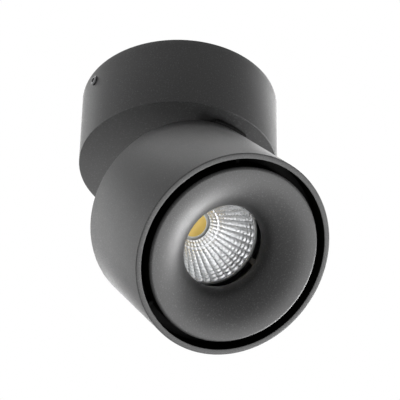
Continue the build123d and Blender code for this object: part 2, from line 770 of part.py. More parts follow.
# cast housing: a tube with a slight draft, a ledge for the heat sink and a lug for the hinge pin
with BuildPart() as head_housing:
    with BuildSketch(head_side):
        with BuildLine():
            Polyline(
                (head_front_bore, 0),
                (head_radius, 0),
                (head_rear_radius, head_length),
                (head_bore, head_length),
                (head_bore, seat_depth),
                (ledge_radius, seat_depth),
                (ledge_radius, seat_depth - ledge_thickness),
                (head_bore, seat_depth - ledge_thickness - ledge_slope),
                (head_bore, head_front_bore_depth),
                (head_front_bore, head_front_bore_depth),
                close=True,
            )
        make_face()
    revolve(axis=head_axis)
    outer_rims = head_housing.edges().filter_by(GeomType.CIRCLE).filter_by(
        lambda edge: edge.radius > head_front_bore + edge_break
    )
    fillet(outer_rims, edge_break)
    with BuildSketch(head_side.offset(-lug_half_width)) as lug_profile:
        with Locations((pivot_reach, pivot_depth)):
            Circle(lug_radius)
        with Locations(((pivot_reach + head_bore) / 2, pivot_depth)):
            Rectangle(head_bore - pivot_reach + edge_break, 2 * lug_radius)
    extrude(amount=2 * lug_half_width)
    with BuildSketch(head_side.offset(-lug_half_width)):
        with Locations((pivot_reach, pivot_depth)):
            Circle(pin_radius + pin_seat)
    extrude(amount=2 * lug_half_width, mode=Mode.SUBTRACT)
    with BuildSketch(head_plane.offset(seat_depth)):
        with sink_screw_spots:
            Circle(sink_screw_radius + thread_clearance)
    extrude(amount=-sink_screw_bite, mode=Mode.SUBTRACT)
save(head_housing.part, "head_housing")

# hinge pin with a screw head at one end and a lock nut at the other, washers outside the ears
with BuildPart() as hinge_pin:
    with BuildSketch(head_side.offset(-pin_head_face)):
        with Locations((pivot_reach, pivot_depth)):
            Circle(pin_radius)
    extrude(amount=pin_head_face + pin_tail_face)
    with BuildSketch(head_side.offset(-pin_head_face)):
        with Locations((pivot_reach, pivot_depth)):
            Circle(hinge_head_radius)
    extrude(amount=-hinge_head_height)
    with BuildSketch(head_side.offset(-pin_head_face - hinge_head_height)):
        with Locations((pivot_reach, pivot_depth)):
            RegularPolygon(hinge_socket / 2, hex_sides, major_radius=False)
    extrude(amount=driver_slot_depth, mode=Mode.SUBTRACT)
save(hinge_pin.part, "hinge_pin")

with BuildPart() as hinge_washers:
    for side in (-1, 1):
        with BuildSketch(head_side.offset(side * washer_face)):
            with Locations((pivot_reach, pivot_depth)):
                Circle(washer_radius)
                Circle(pin_radius + pin_clearance, mode=Mode.SUBTRACT)
        extrude(amount=side * washer_thickness)
save(hinge_washers.part, "hinge_washers")

with BuildPart() as hinge_lock_nut:
    with BuildSketch(head_side.offset(pin_head_face)):
        with Locations((pivot_reach, pivot_depth)):
            RegularPolygon(hinge_nut_across_flats / 2, hex_sides, major_radius=False)
            Circle(pin_radius + pin_seat, mode=Mode.SUBTRACT)
    extrude(amount=hinge_nut_thickness)
save(hinge_lock_nut.part, "hinge_lock_nut")

# finned heat sink that closes the lamp space and carries the light source
cover_screw_spots = PolarLocations(
    cover_screw_circle, cover_screw_count, cover_screw_phase, cover_screw_arc, endpoint=True
)
with BuildPart() as heat_sink:
    with BuildSketch(head_plane.offset(seat_depth + sink_base)):
        with GridLocations(0, fin_pitch, 1, fin_count):
            Rectangle(2 * fin_radius, fin_thickness)
        Circle(fin_radius, mode=Mode.INTERSECT)
    extrude(amount=fin_height)
    with BuildSketch(head_plane.offset(seat_depth + sink_base)):
        with sink_screw_spots:
            Circle(sink_screw_head + fin_setback)
        with Locations((-lead_hole_offset, 0)):
            Circle(lead_hole_radius + grommet_lip + fin_setback)
    extrude(amount=fin_height, mode=Mode.SUBTRACT)
    with BuildSketch(head_plane.offset(seat_depth + sink_base)):
        with cover_screw_spots:
            Circle(cover_post_radius)
    extrude(amount=cover_depth - seat_depth - sink_base)
    with BuildSketch(head_plane.offset(seat_depth)):
        Circle(sink_radius)
    extrude(amount=sink_base)
    with BuildSketch(head_plane.offset(pocket_depth)):
        with Locations((pocket_middle, 0)):
            Rectangle(pocket_length, 2 * pocket_half_width)
    extrude(amount=head_length - pocket_depth, mode=Mode.SUBTRACT)
    with BuildSketch(head_plane.offset(seat_depth)):
        with sink_screw_spots:
            Circle(sink_screw_radius + screw_hole_clearance)
        with PolarLocations(holder_screw_circle, holder_screw_count):
            Circle(holder_screw_radius + thread_clearance)
    extrude(amount=sink_base, mode=Mode.SUBTRACT)
    with BuildSketch(head_plane.offset(cover_depth)):
        with cover_screw_spots:
            Circle(sink_screw_radius + thread_clearance)
    extrude(amount=-cover_screw_bite, mode=Mode.SUBTRACT)
save(heat_sink.part, "heat_sink")

with BuildPart() as heat_sink_screws:
    with BuildSketch(head_plane.offset(seat_depth + sink_base)):
        with sink_screw_spots:
            Circle(sink_screw_radius)
    extrude(amount=-sink_base - sink_screw_bite)
    with BuildSketch(head_plane.offset(seat_depth + sink_base)):
        with sink_screw_spots:
            Circle(sink_screw_head)
    extrude(amount=sink_screw_head_height)
save(heat_sink_screws.part, "heat_sink_screws")

# rear cover, set into the rim, open where the bracket folds in
with BuildPart() as rear_cover:
    with BuildSketch(head_plane.offset(cover_depth)):
        Circle(head_bore - cover_clearance)
        with Locations((pocket_middle, 0)):
            Rectangle(pocket_length, 2 * pocket_half_width, mode=Mode.SUBTRACT)
        with Locations((-lead_hole_offset, 0)):
            Circle(lead_hole_radius, mode=Mode.SUBTRACT)
        with cover_screw_spots:
            Circle(sink_screw_radius + screw_hole_clearance, mode=Mode.SUBTRACT)
    extrude(amount=cover_thickness)
save(rear_cover.part, "rear_cover")

with BuildPart() as rear_cover_screws:
    cover_face = head_plane.offset(cover_depth + cover_thickness)
    with BuildSketch(cover_face):
        with cover_screw_spots:
            Circle(sink_screw_radius)
    extrude(amount=-cover_thickness - cover_screw_bite)
    with BuildSketch(cover_face):
        with cover_screw_spots:
            Circle(sink_screw_head)
    extrude(amount=sink_screw_head_height)
    with BuildSketch(cover_face.offset(sink_screw_head_height)):
        with cover_screw_spots:
            Rectangle(2 * sink_screw_radius, driver_slot)
            Rectangle(driver_slot, 2 * sink_screw_radius)
    extrude(amount=-driver_slot_depth, mode=Mode.SUBTRACT)
save(rear_cover_screws.part, "rear_cover_screws")

# grommet where the lead enters the head
with BuildPart() as lead_grommet:
    with BuildSketch(head_plane.offset(cover_depth - grommet_lip_thickness)):
        with Locations((-lead_hole_offset, 0)):
            Circle(lead_hole_radius + grommet_lip)
    extrude(amount=cover_thickness + 2 * grommet_lip_thickness)
    with BuildSketch(head_plane.offset(cover_depth)):
        with Locations((-lead_hole_offset, 0)):
            Circle(lead_hole_radius + grommet_lip + groove_overcut)
            Circle(lead_hole_radius - grommet_clearance, mode=Mode.SUBTRACT)
    extrude(amount=cover_thickness, mode=Mode.SUBTRACT)
    with BuildSketch(head_plane.offset(cover_depth - grommet_lip_thickness)):
        with Locations((-lead_hole_offset, 0)):
            Circle(lead_grommet_bore)
    extrude(amount=cover_thickness + 2 * grommet_lip_thickness, mode=Mode.SUBTRACT)
save(lead_grommet.part, "lead_grommet")

# light source: pad, board, round phosphor field and the holder that presses them on the heat sink
with BuildPart() as thermal_pad:
    with BuildSketch(head_plane.offset(pad_depth)):
        Rectangle(board_side, board_side)
    extrude(amount=pad_thickness)
save(thermal_pad.part, "thermal_pad")

with BuildPart() as led_board:
    with BuildSketch(head_plane.offset(board_depth)):
        Rectangle(board_side, board_side)
    extrude(amount=board_thickness)
save(led_board.part, "led_board")

with BuildPart() as led_emitter:
    with BuildSketch(head_plane.offset(board_depth)):
        Circle(emitter_radius)
    extrude(amount=-emitter_thickness)
save(led_emitter.part, "led_emitter")

with BuildPart() as led_holder:
    with BuildSketch(head_plane.offset(holder_depth)):
        Circle(holder_radius)
    extrude(amount=holder_thickness)
    fillet(led_holder.edges().filter_by(GeomType.CIRCLE), edge_break)
    with BuildSketch(head_plane.offset(board_depth)):
        Rectangle(board_side + 2 * holder_board_clearance, board_side + 2 * holder_board_clearance)
    extrude(amount=board_thickness + pad_thickness, mode=Mode.SUBTRACT)
    with BuildSketch(head_plane.offset(holder_depth)):
        Circle(holder_aperture)
        with PolarLocations(holder_screw_circle, holder_screw_count):
            Circle(holder_screw_radius + screw_hole_clearance)
    extrude(amount=holder_thickness, mode=Mode.SUBTRACT)
save(led_holder.part, "led_holder")

with BuildPart() as led_holder_screws:
    with BuildSketch(head_plane.offset(holder_depth)):
        with PolarLocations(holder_screw_circle, holder_screw_count):
            Circle(holder_screw_radius)
    extrude(amount=holder_thickness + holder_screw_bite)
    with BuildSketch(head_plane.offset(holder_depth)):
        with PolarLocations(holder_screw_circle, holder_screw_count):
            Circle(holder_head_radius)
    extrude(amount=-holder_head_height)
save(led_holder_screws.part, "led_holder_screws")


# fluted reflector: a thin spun cone with a flange, its inside lofted between scalloped rings
def scalloped_ring(ridge_radius):
    """Closed ring of shallow arcs that bulge outwards between ridges on a circle."""
    step = 360 / flute_count
    chord = 2 * ridge_radius * sin(radians(step / 2))
    crest_radius = ridge_radius * cos(radians(step / 2)) + flute_sag * chord
    for turn in range(flute_count):
        angle = flute_phase + turn * step
        start = Vector(ridge_radius, 0).rotate(Axis.Z, angle - step / 2)
        crest = Vector(crest_radius, 0).rotate(Axis.Z, angle)
        end = Vector(ridge_radius, 0).rotate(Axis.Z, angle + step / 2)
        ThreePointArc(start, crest, end)


fluted_zones = (
    ((mouth_depth, mouth_radius), (kink_depth, kink_radius)),
    ((kink_depth, kink_radius), (end_depth, end_radius)),
)
with BuildPart() as reflector:
    with BuildSketch(head_side):
        with BuildLine():
            Polyline(
                (0, flange_depth),
                (flange_radius, flange_depth),
                (flange_radius, flange_depth + flange_thickness),
                (mouth_radius + reflector_wall, flange_depth + flange_thickness),
                (kink_radius + reflector_wall, kink_depth),
                (end_radius + reflector_wall, end_depth),
                (0, end_depth),
                close=True,
            )
        make_face()
    revolve(axis=head_axis)
    with BuildSketch(head_plane.offset(flange_depth)):
        Circle(mouth_radius + edge_break)
    extrude(amount=mouth_depth - flange_depth, mode=Mode.SUBTRACT)
    for zone in fluted_zones:
        for depth, ridge_radius in zone:
            with BuildSketch(head_plane.offset(depth)):
                with BuildLine():
                    scalloped_ring(ridge_radius)
                make_face()
        loft(ruled=True, mode=Mode.SUBTRACT)
save(reflector.part, "reflector")

# baffle: a flare that is flat at the lip and steep at the throat, a skirt, and hooked legs
flare_width = flare_radius - throat_radius
flare_depth = throat_depth + lip_proud
leg_inner = flange_radius + leg_play
flare_share = (flare_radius - leg_inner) / flare_width
leg_root_depth = throat_depth - flare_depth * sqrt(1 - flare_share**2) + leg_embed
hook_depth = flange_depth + flange_thickness + leg_play
with BuildPart() as baffle:
    with BuildSketch(head_side):
        with BuildLine():
            EllipticalCenterArc(
                (flare_radius, throat_depth), flare_width, flare_depth, start_angle=180, arc_size=90
            )
            Line((flare_radius, -lip_proud), (lip_radius, -lip_proud))
            Line((lip_radius, -lip_proud), (lip_radius, skirt_depth))
            Line((lip_radius, skirt_depth), (flare_radius, skirt_depth))
            Line((flare_radius, skirt_depth), (flare_radius, baffle_wall - lip_proud))
            EllipticalCenterArc(
                (flare_radius, throat_depth),
                flare_width - baffle_wall,
                flare_depth - baffle_wall,
                start_angle=180,
                arc_size=90,
            )
            Line((throat_radius + baffle_wall, throat_depth), (throat_radius, throat_depth))
        make_face()
    revolve(axis=head_axis)
    lip_edge = baffle.edges().filter_by(GeomType.CIRCLE).group_by(head_axis)[0].sort_by(SortBy.RADIUS)[-1]
    fillet(lip_edge, lip_round)
    with BuildSketch(head_plane.offset(leg_root_depth)):
        with PolarLocations(leg_inner + leg_thickness / 2, leg_count, leg_phase):
            Rectangle(leg_thickness, leg_width)
    extrude(amount=hook_depth + leg_hook_thickness - leg_root_depth)
    with BuildSketch(head_plane.offset(hook_depth)):
        with PolarLocations(leg_inner + (leg_thickness - leg_hook) / 2, leg_count, leg_phase):
            Rectangle(leg_thickness + leg_hook, leg_width)
    extrude(amount=leg_hook_thickness)
save(baffle.part, "baffle")

# black spacer ring at the bottom of the shadow gap, with three small ribs
with BuildPart() as spacer_ring:
    with BuildSketch(head_plane.offset(skirt_depth)):
        Circle(head_front_bore - ring_clearance)
        Circle(ring_inner_radius, mode=Mode.SUBTRACT)
    extrude(amount=head_front_bore_depth - skirt_depth)
    rib_inner = lip_radius + ring_rib_play
    rib_outer = head_front_bore - ring_clearance
    with BuildSketch(head_plane.offset(skirt_depth)):
        with PolarLocations((rib_inner + rib_outer) / 2, leg_count, gap_rib_phase):
            Rectangle(rib_outer - rib_inner, ring_rib_width)
        Circle(rib_outer, mode=Mode.INTERSECT)
    extrude(amount=ring_rib_front - skirt_depth)
save(spacer_ring.part, "spacer_ring")
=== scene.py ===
from math import atan2, cos, hypot, pi, radians, sin, sqrt

import bmesh
import bpy
from bpy.props import FloatProperty, FloatVectorProperty, IntProperty, PointerProperty
from mathutils import Euler, Matrix, Vector


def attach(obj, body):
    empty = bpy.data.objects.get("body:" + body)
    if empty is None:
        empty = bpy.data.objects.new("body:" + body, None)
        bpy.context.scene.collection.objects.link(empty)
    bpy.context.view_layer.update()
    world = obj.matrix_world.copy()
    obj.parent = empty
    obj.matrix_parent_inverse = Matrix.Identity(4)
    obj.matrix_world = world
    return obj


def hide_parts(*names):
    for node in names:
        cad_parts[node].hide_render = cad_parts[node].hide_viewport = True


bl_info = {
    "name": "Ceiling spotlight",
    "version": (1, 0, 0),
    "blender": (4, 5, 0),
    "location": "View3D > Sidebar > Spotlight",
    "description": "Surface mounted ceiling spotlight with a swivelling, tilting head",
    "category": "Object",
}

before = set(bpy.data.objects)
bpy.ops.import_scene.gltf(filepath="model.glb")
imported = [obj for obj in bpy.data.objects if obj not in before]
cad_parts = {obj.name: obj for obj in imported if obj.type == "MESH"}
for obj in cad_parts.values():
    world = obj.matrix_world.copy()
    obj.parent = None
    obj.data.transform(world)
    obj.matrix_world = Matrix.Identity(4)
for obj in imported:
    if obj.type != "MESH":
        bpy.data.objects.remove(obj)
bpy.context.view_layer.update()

MM = 0.001
SIDES, MIDDLE_SIDES = 240, 96        # facets round the large turned pieces and the middling ones
SMALL_SIDES, HOLE_SIDES = 64, 48     # and round screws and pins, and small holes
MERGE = 1e-6                         # two points closer than this are one
CLEAR = 0.01 * MM                    # room between a piece and the one it sits on or in
BITE = 0.5 * MM                      # how far a joined shell reaches into its neighbour
THROUGH = 0.1                        # a cut of this depth goes right through
FULL_ROUND = 0.995                   # share of the half width that a round end can take
SMOOTH_BELOW = radians(30)


# ---------------------------------------------------------------- sizes and colours a user would change
def properties(kind, rows, **settings):
    """One property per row, named after its key; the row says what it is and its default."""
    return {
        key: kind(name=key.replace("_", " ").capitalize(), description=text, default=default, **settings)
        for key, (text, default) in rows.items()
    }


def lengths(**rows):
    """Lengths, written in millimetres."""
    metres = {key: (text, default * MM) for key, (text, default) in rows.items()}
    return properties(FloatProperty, metres, unit="LENGTH", precision=5)


def angles(**rows):
    """Angles, written in degrees."""
    turns = {key: (text, radians(default)) for key, (text, default) in rows.items()}
    return properties(FloatProperty, turns, unit="ROTATION")


def colours(**rows):
    return properties(FloatVectorProperty, rows, subtype="COLOR", min=0, max=1)


class CanopySizes(bpy.types.PropertyGroup):
    __annotations__ = lengths(
        radius=("Outside of the canopy", 42.5),
        height=("Ceiling to the underside", 35),
        wall=("Thickness of the wall", 2),
        floor=("Thickness of the floor", 2.5),
        edge=("Rounding of the rims", 0.4),
        spindle_hole=("Radius of the swivel hole", 5.1),
        recess_radius=("Recess for the slip washer", 12.1),
        recess_depth=("Recess for the slip washer", 0.5),
        screw_drop=("Ceiling to the set screws", 6.2),
        screw_hole=("Radius of the holes for the set screws", 2.2),
        screw_radius=("Shank of the set screws", 2),
        screw_length=("Length of the set screws", 6),
        screw_proud=("Set screws in front of the wall", 1),
        thread_pitch=("Pitch of the set screws' thread", 0.7),
        boss_offset=("Swivel axis to the earth boss", 29),
        boss_radius=("Boss that the earth screw sits in", 4.5),
        boss_height=("Boss above the canopy floor", 4),
        boss_hole=("Hole in the earth boss", 2),
    )


class PlateSizes(bpy.types.PropertyGroup):
    __annotations__ = lengths(
        radius=("Outside of the ceiling plate", 40.1),
        thickness=("Sheet of the plate", 1.5),
        dish_radius=("Flat bottom of the dish", 13),
        dish_depth=("Depth of the dish", 1.5),
        hole=("Radius of the hole in the dish", 6),
        ear_width=("Width of the ears that hold the set screws", 14),
        ear_depth=("Thickness of the ears", 2.5),
        ear_drop=("Ceiling to the end of the ears", 9.5),
        ear_hole=("Radius of the thread in the ears", 2.02),
        slot_spacing=("Between the two screw slots", 50),
        slot_length=("Overall length of a slot", 14),
        slot_width=("Width of a slot", 4.5),
        grommet_bore=("Radius of the cable's way in", 4),
        grommet_lip=("Lip over the plate", 1.5),
        lip_thickness=("Thickness of the grommet's lips", 1.2),
    )


class HingeSizes(bpy.types.PropertyGroup):
    __annotations__ = lengths(
        reach=("Swivel axis to the hinge pin", 34.6965),
        drop=("Canopy underside to the hinge pin", 11.4),
        arm_gap=("Canopy underside to the arm", 0.35),
        arm_thickness=("Folded sheet", 1.5),
        arm_width=("Across the ears", 16),
        arm_end=("Radius of the arm's end, round the swivel axis", 36.4),
        hub_radius=("Round end of the arm at the spindle", 10.5),
        ear_inner=("Swivel axis to the inner side of the ears", 20.95),
        ear_outer=("Swivel axis to the outer side of the ears", 27.75),
        eye_radius=("Round end of the ears", 3),
        ear_bend=("Outer round of the hooked ears", 5),
        ear_throat=("Inner round of the hooked ears", 2),
        pin_radius=("Hinge pin", 1.25),
        pin_head=("Radius of the pin's head and of the nut, across flats", 2.5),
        pin_head_height=("Height of the pin's head", 1.5),
        pin_key=("Socket in the pin's head", 0.85),
        washer_radius=("Outside of the hinge washers", 2.6),
        washer_thickness=("Hinge washers", 0.5),
        nut_height=("Height of the lock nut", 1.6),
        spindle_radius=("Hollow swivel spindle", 5),
        spindle_bore=("Way for the lead", 3.2),
        flange_radius=("Flange of the spindle under the arm", 8.5),
        flange_thickness=("Flange of the spindle", 1.2),
        spindle_length=("Underside of the arm to the spindle's top", 11),
    ) | angles(
        azimuth=("Turn of the head about the swivel axis, at rest", 8),
        tilt=("Tilt of the head about the hinge pin, at rest", 40),
    )


class HeadSizes(bpy.types.PropertyGroup):
    __annotations__ = lengths(
        radius=("Outside at the front face", 42.5),
        rear_radius=("Outside at the rear rim", 41.6),
        length=("Front face to rear rim", 52.3),
        front_bore=("Bore behind the front face", 40.2),
        front_depth=("Depth of the front bore", 12),
        bore=("Bore behind that", 39.3),
        edge=("Rounding of the outer edges", 0.4),
        inner_edge=("Rounding of the front bore's edge", 0.22),
        seat_depth=("Front face to the heat sink's seat", 41.3),
        ledge_radius=("Inside of the seat's ledge", 33.5),
        ledge_thickness=("Thickness of the ledge", 3),
        pin_depth=("Front face to the hinge pin", 46),
        lug_radius=("Lug round the hinge pin", 3.4),
        lug_width=("Lug between the ears", 12.8),
        cover_depth=("Front face to the rear cover", 49.6),
        cover_thickness=("Sheet of the rear cover", 1.5),
        pocket_start=("Middle to the pocket for the folded arm", 20.1),
        pocket_width=("Width of that pocket", 22),
        lead_offset=("Middle to the lead's grommet", 14),
        lead_hole=("Radius of the hole for that grommet", 3.6),
        lead_bore=("Radius of the lead's way through", 2.2),
        lead_lip=("Radius of the grommet's lips", 5.1),
        lip_thickness=("Thickness of the grommet's lips", 1.2),
        screw_circle=("Middle to the cover's screws", 33),
        screw_radius=("Shank of the cover's screws", 1.25),
        screw_head=("Radius of their heads", 2.2),
    )


class BaffleSizes(bpy.types.PropertyGroup):
    __annotations__ = lengths(
        lip_radius=("Outside of the lip", 36.8),
        flare_radius=("Where the flare meets the lip", 35.4),
        throat_radius=("Opening over the reflector", 17.5),
        throat_depth=("Front face to the throat", 12.6),
        proud=("Lip in front of the housing", 0.6),
        lip_round=("Rounding of the lip", 1.1),
        wall=("Thickness of the flare", 1.5),
        skirt_depth=("Front face to the skirt's end", 9),
        leg_inner=("Middle to the inner side of the legs", 19.7),
        leg_width=("Width of a leg", 2.4),
        leg_thickness=("Thickness of a leg", 1.2),
        leg_start=("Front face to the legs' start, inside the flare", 7.5),
        hook_height=("Height of the legs' hooks", 0.8),
        ring_inner=("Inside of the black ring", 34.9),
        ring_outer=("Outside of the black ring", 40.1),
        rib_width=("Width of the ribs in the shadow gap", 1.6),
        rib_front=("Front face to the ribs", 4),
    ) | angles(
        leg_phase=("Place of the first leg", 91.5),
        rib_phase=("Place of the first rib", 331.5),
    )


class ReflectorSizes(bpy.types.PropertyGroup):
    __annotations__ = lengths(
        mouth_radius=("Ridges at the mouth", 18.2),
        mouth_depth=("Front face to the mouth", 20.9),
        kink_radius=("Ridges at the kink", 8.9),
        kink_depth=("Front face to the kink", 36.5),
        end_radius=("Ridges at the light source", 6.6),
        end_depth=("Front face to the reflector's end", 39.3),
        flange_radius=("Flat rim of the mouth", 19.5),
        flange_depth=("Front face to the flat rim", 20.5),
        wall=("Thickness of the reflector", 0.45),
        rim_radius=("Inside of the flat rim", 18.55),
        ripple=("Length of the fine waves down the flutes", 1.5),
    ) | angles(
        flute_phase=("Middle of one flute from the tilt plane", 2.98),
    ) | {
        "flutes": IntProperty(name="Flutes", description="Number of flutes", default=33, min=6),
        "flute_sag": FloatProperty(
            name="Flute sag", description="Rise of a flute over its chord", default=0.16, min=0, max=0.4
        ),
    }


class SourceSizes(bpy.types.PropertyGroup):
    __annotations__ = lengths(
        emitter_radius=("Round light field with its dam", 5.8),
        emitter_depth=("Front face to the light field", 39.6),
        dam_width=("White ring round the phosphor", 0.55),
        board_side=("Square board", 19),
        board_depth=("Front face to the board", 40),
        board_thickness=("Square board", 1),
        pad_place=("Middle to the copper pads, along a diagonal's axes", 14.5),
        holder_radius=("Outside of the holder", 16.6),
        holder_depth=("Front face to the holder", 38.8),
        holder_thickness=("Thickness of the holder", 2.5),
        holder_aperture=("Opening round the emitter", 8.2),
        screw_circle=("Middle to the holder's screws", 13.4),
        screw_hole=("Holes for the holder's screws", 1.4),
    )


class FinishColours(bpy.types.PropertyGroup):
    __annotations__ = colours(
        coat=("Charcoal powder coat", (0.026, 0.026, 0.0264)),
        fleck=("Pale flecks of the coat", (0.11, 0.11, 0.112)),
        # Walls of the shadow gap: a near-black that paints the shade falling deep in the gap
        gap=("Walls of the shadow gap", (0.0065, 0.0065, 0.005)),
        # Legs: a darker black, partly their own dark colour and partly painted shade from the baffle over them
        leg=("Legs that hold the reflector", (0.022, 0.022, 0.022)),
        rear_coat=("Powder coat of the rear cover", (0.022, 0.022, 0.023)),
        rear_fleck=("Flecks of the rear cover's coat", (0.07, 0.07, 0.072)),
        # Hinge bracket: near-black, partly its own black coat and partly painted shade for the deep shadow at
        # the arm's end under the canopy
        black_steel=("Coated hinge bracket", (0.005, 0.005, 0.005)),
        steel_fleck=("Flecks of the bracket's coat", (0.03, 0.03, 0.03)),
        zinc=("Plated steel", (0.42, 0.43, 0.45)),
        oxide=("Blackened screws", (0.12, 0.12, 0.123)),
        # Paler metal that paints a highlight on the rounded edges of the blackened screws
        worn_metal=("Rubbed edges of blackened screws", (0.35, 0.35, 0.36)),
        brass=("Brass screws", (0.62, 0.42, 0.15)),
        rubber=("Grommets", (0.012, 0.012, 0.012)),
        white_plastic=("Driver and terminals", (0.72, 0.72, 0.69)),
        circuit=("Solder resist of the driver's board", (0.01, 0.09, 0.03)),
        circuit_dark=("Its darker fields", (0.008, 0.07, 0.025)),
        tracks=("Its tracks", (0.04, 0.22, 0.09)),
        nylon=("Slip washers", (0.70, 0.68, 0.60)),
        black_plastic=("Ring of the shadow gap", (0.004, 0.004, 0.004)),
        cast=("Cast aluminium of the heat sink", (0.50, 0.50, 0.51)),
        pad=("Silicone of the thermal pad", (0.20, 0.21, 0.23)),
        board_white=("White solder resist", (0.74, 0.74, 0.71)),
        copper=("Pads of the white board", (0.70, 0.52, 0.24)),
        phosphor=("Light field when off", (0.95, 0.63, 0.088)),
        chips=("Chips under the phosphor", (0.95, 0.68, 0.16)),
        milk=("Cloudy silicone over it", (0.97, 0.95, 0.90)),
        dam=("Ring round the phosphor", (0.80, 0.80, 0.77)),
        holder=("Holder of the light source", (0.55, 0.55, 0.53)),
        silver=("Metallised plastic of the reflector", (0.90, 0.91, 0.92)),
        # Lines between the flutes: painted dark reflections along the ridges
        flute_line=("Lines between the flutes", (0.30, 0.30, 0.305)),
        silver_speck=("Specks of the metallising", (0.5, 0.5, 0.51)),
        rim=("Flat rim of the reflector", (0.92, 0.92, 0.92)),
        dust=("What settles on upward faces", (0.20, 0.19, 0.18)),
        floor=("Pale floor", (0.86, 0.86, 0.85)),
        floor_patch=("Broad patches of the floor", (0.8, 0.8, 0.79)),
    )


class StageLook(bpy.types.PropertyGroup):
    __annotations__ = properties(FloatProperty, dict(
        floor_glow=("How pale the floor looks", 0.75),
        world_level=("Light from all round", 0.06),
        lens=("Focal length of the camera", 196.9),
    ), min=0) | properties(FloatProperty, dict(
        floor_level=("Floor below the ceiling", -1.4),
    ), unit="LENGTH") | properties(FloatVectorProperty, dict(
        camera_place=("Place of the camera", (0.62664, -0.36862, -0.62875)),
        aim=("Point that the lamps look at", (0.02, 0, -0.065)),
    ), subtype="XYZ") | angles(
        camera_turn=("Turn of the camera about Z", 58.77),
        camera_rise=("How far the camera looks up", 38.38),
        camera_roll=("Roll of the camera", 1.02),
    )


GROUPS = {
    "spot_canopy": CanopySizes,
    "spot_plate": PlateSizes,
    "spot_hinge": HingeSizes,
    "spot_head": HeadSizes,
    "spot_baffle": BaffleSizes,
    "spot_reflector": ReflectorSizes,
    "spot_source": SourceSizes,
    "spot_colours": FinishColours,
    "spot_stage": StageLook,
}


# ---------------------------------------------------------------- places of the three bodies
def shift(x=0.0, y=0.0, z=0.0):
    return Matrix.Translation((x, y, z))


def turned(angle, axis="Z"):
    return Matrix.Rotation(angle, 4, axis)


def swivel_frame():
    """Origin on the canopy's underside, X towards the hinge, Z up."""
    scene = bpy.context.scene
    return shift(z=-scene.spot_canopy.height) @ turned(scene.spot_hinge.azimuth)


def head_frame():
    """Origin at the middle of the head's front face, X towards the hinge, Z towards the rear."""
    hinge, head = bpy.context.scene.spot_hinge, bpy.context.scene.spot_head
    pivot = shift(hinge.reach, z=-hinge.drop) @ turned(-hinge.tilt, "Y")
    return swivel_frame() @ pivot @ shift(-hinge.reach, z=-head.pin_depth)


def hinge_frame():
    """Origin on the hinge pin's axis at the tilt plane, Z along the pin."""
    hinge, head = bpy.context.scene.spot_hinge, bpy.context.scene.spot_head
    return head_frame() @ shift(hinge.reach, z=head.pin_depth) @ turned(radians(-90), "X")


BODY_FRAMES = {"canopy": Matrix, "swivel_arm": swivel_frame, "head": head_frame}
ACROSS = turned(radians(90), "X")        # lays an upright rod along Y


# ---------------------------------------------------------------- modelling steps
def clear_selection():
    if bpy.context.mode != "OBJECT":
        bpy.ops.object.mode_set(mode="OBJECT")
    bpy.ops.object.select_all(action="DESELECT")


def take(piece, mode="OBJECT"):
    clear_selection()
    piece.select_set(True)
    bpy.context.view_layer.objects.active = piece
    bpy.ops.object.mode_set(mode=mode)


def added(name, settle=True):
    """The primitive that was just added, under its name and with its place in its mesh."""
    piece = bpy.context.active_object
    piece.name = piece.data.name = name
    if settle:
        bpy.ops.object.transform_apply()
    return piece


def extrude(x=0.0, y=0.0, z=0.0):
    bpy.ops.mesh.extrude_region_move(TRANSFORM_OT_translate={"value": (x, y, z)})


def widen(grow):
    """Scales what is selected away from the Z axis."""
    bpy.ops.transform.resize(value=(grow, grow, 1), center_override=(0, 0, 0))


def open_ring(name, radius, level, sides, fill="NOTHING"):
    """Ring of points to extrude from, left in edit mode."""
    clear_selection()
    bpy.ops.mesh.primitive_circle_add(
        vertices=sides, radius=radius, fill_type=fill, location=(0, 0, level)
    )
    piece = added(name, settle=False)
    take(piece, "EDIT")
    return piece


def draw_out(stations):
    """Extrudes the ring through the stations (radius, level), then closes up and leaves edit mode."""
    bpy.ops.mesh.select_all(action="SELECT")
    for (radius, level), (next_radius, next_level) in zip(stations, stations[1:]):
        extrude(z=next_level - level)
        widen(next_radius / radius)
    bpy.ops.mesh.select_all(action="SELECT")
    bpy.ops.mesh.remove_doubles(threshold=MERGE)
    bpy.ops.mesh.normals_make_consistent(inside=False)
    bpy.ops.object.mode_set(mode="OBJECT")
    bpy.ops.object.transform_apply()


def turn(name, stations, sides=SIDES, solid=False):
    """Piece turned about Z. A hollow profile closes on its first station, a solid one keeps its two ends."""
    piece = open_ring(name, *stations[0], sides, "NGON" if solid else "NOTHING")
    draw_out(stations if solid else stations + stations[:1])
    return piece


def hoop(name, inner, outer, low, high, sides=SIDES):
    """Plain ring, turned."""
    return turn(name, [(inner, low), (outer, low), (outer, high), (inner, high)], sides)


def block(name, low, high):
    """Block between two corners."""
    clear_selection()
    low, high = Vector(low), Vector(high)
    bpy.ops.mesh.primitive_cube_add(size=1, location=(low + high) / 2)
    bpy.ops.transform.resize(value=high - low)
    return added(name)


def prism(name, radius, sides, low, high):
    """Upright prism or rod between two levels."""
    clear_selection()
    bpy.ops.mesh.primitive_cylinder_add(
        vertices=sides, radius=radius, depth=high - low, location=(0, 0, (low + high) / 2)
    )
    return added(name)


def arc(centre, radii, start, end, steps):
    """Stations (radius, level) along a round, angles in degrees from outwards."""
    turns = [radians(start + (end - start) * step / steps) for step in range(steps + 1)]
    return [(centre[0] + radii[0] * cos(a), centre[1] + radii[1] * sin(a)) for a in turns]


def pick(piece, kind, test):
    """Selects, in edit mode, the vertices, edges or faces that pass the test."""
    bpy.ops.mesh.select_mode(type=kind)
    bpy.ops.mesh.select_all(action="DESELECT")
    mesh = bmesh.from_edit_mesh(piece.data)
    items = {"VERT": mesh.verts, "EDGE": mesh.edges, "FACE": mesh.faces}[kind]
    chosen = [item for item in items if test(item)]
    for item in chosen:
        item.select_set(True)
    bmesh.update_edit_mesh(piece.data)
    if not chosen:
        raise RuntimeError(f"nothing of {piece.name} was found to work on")


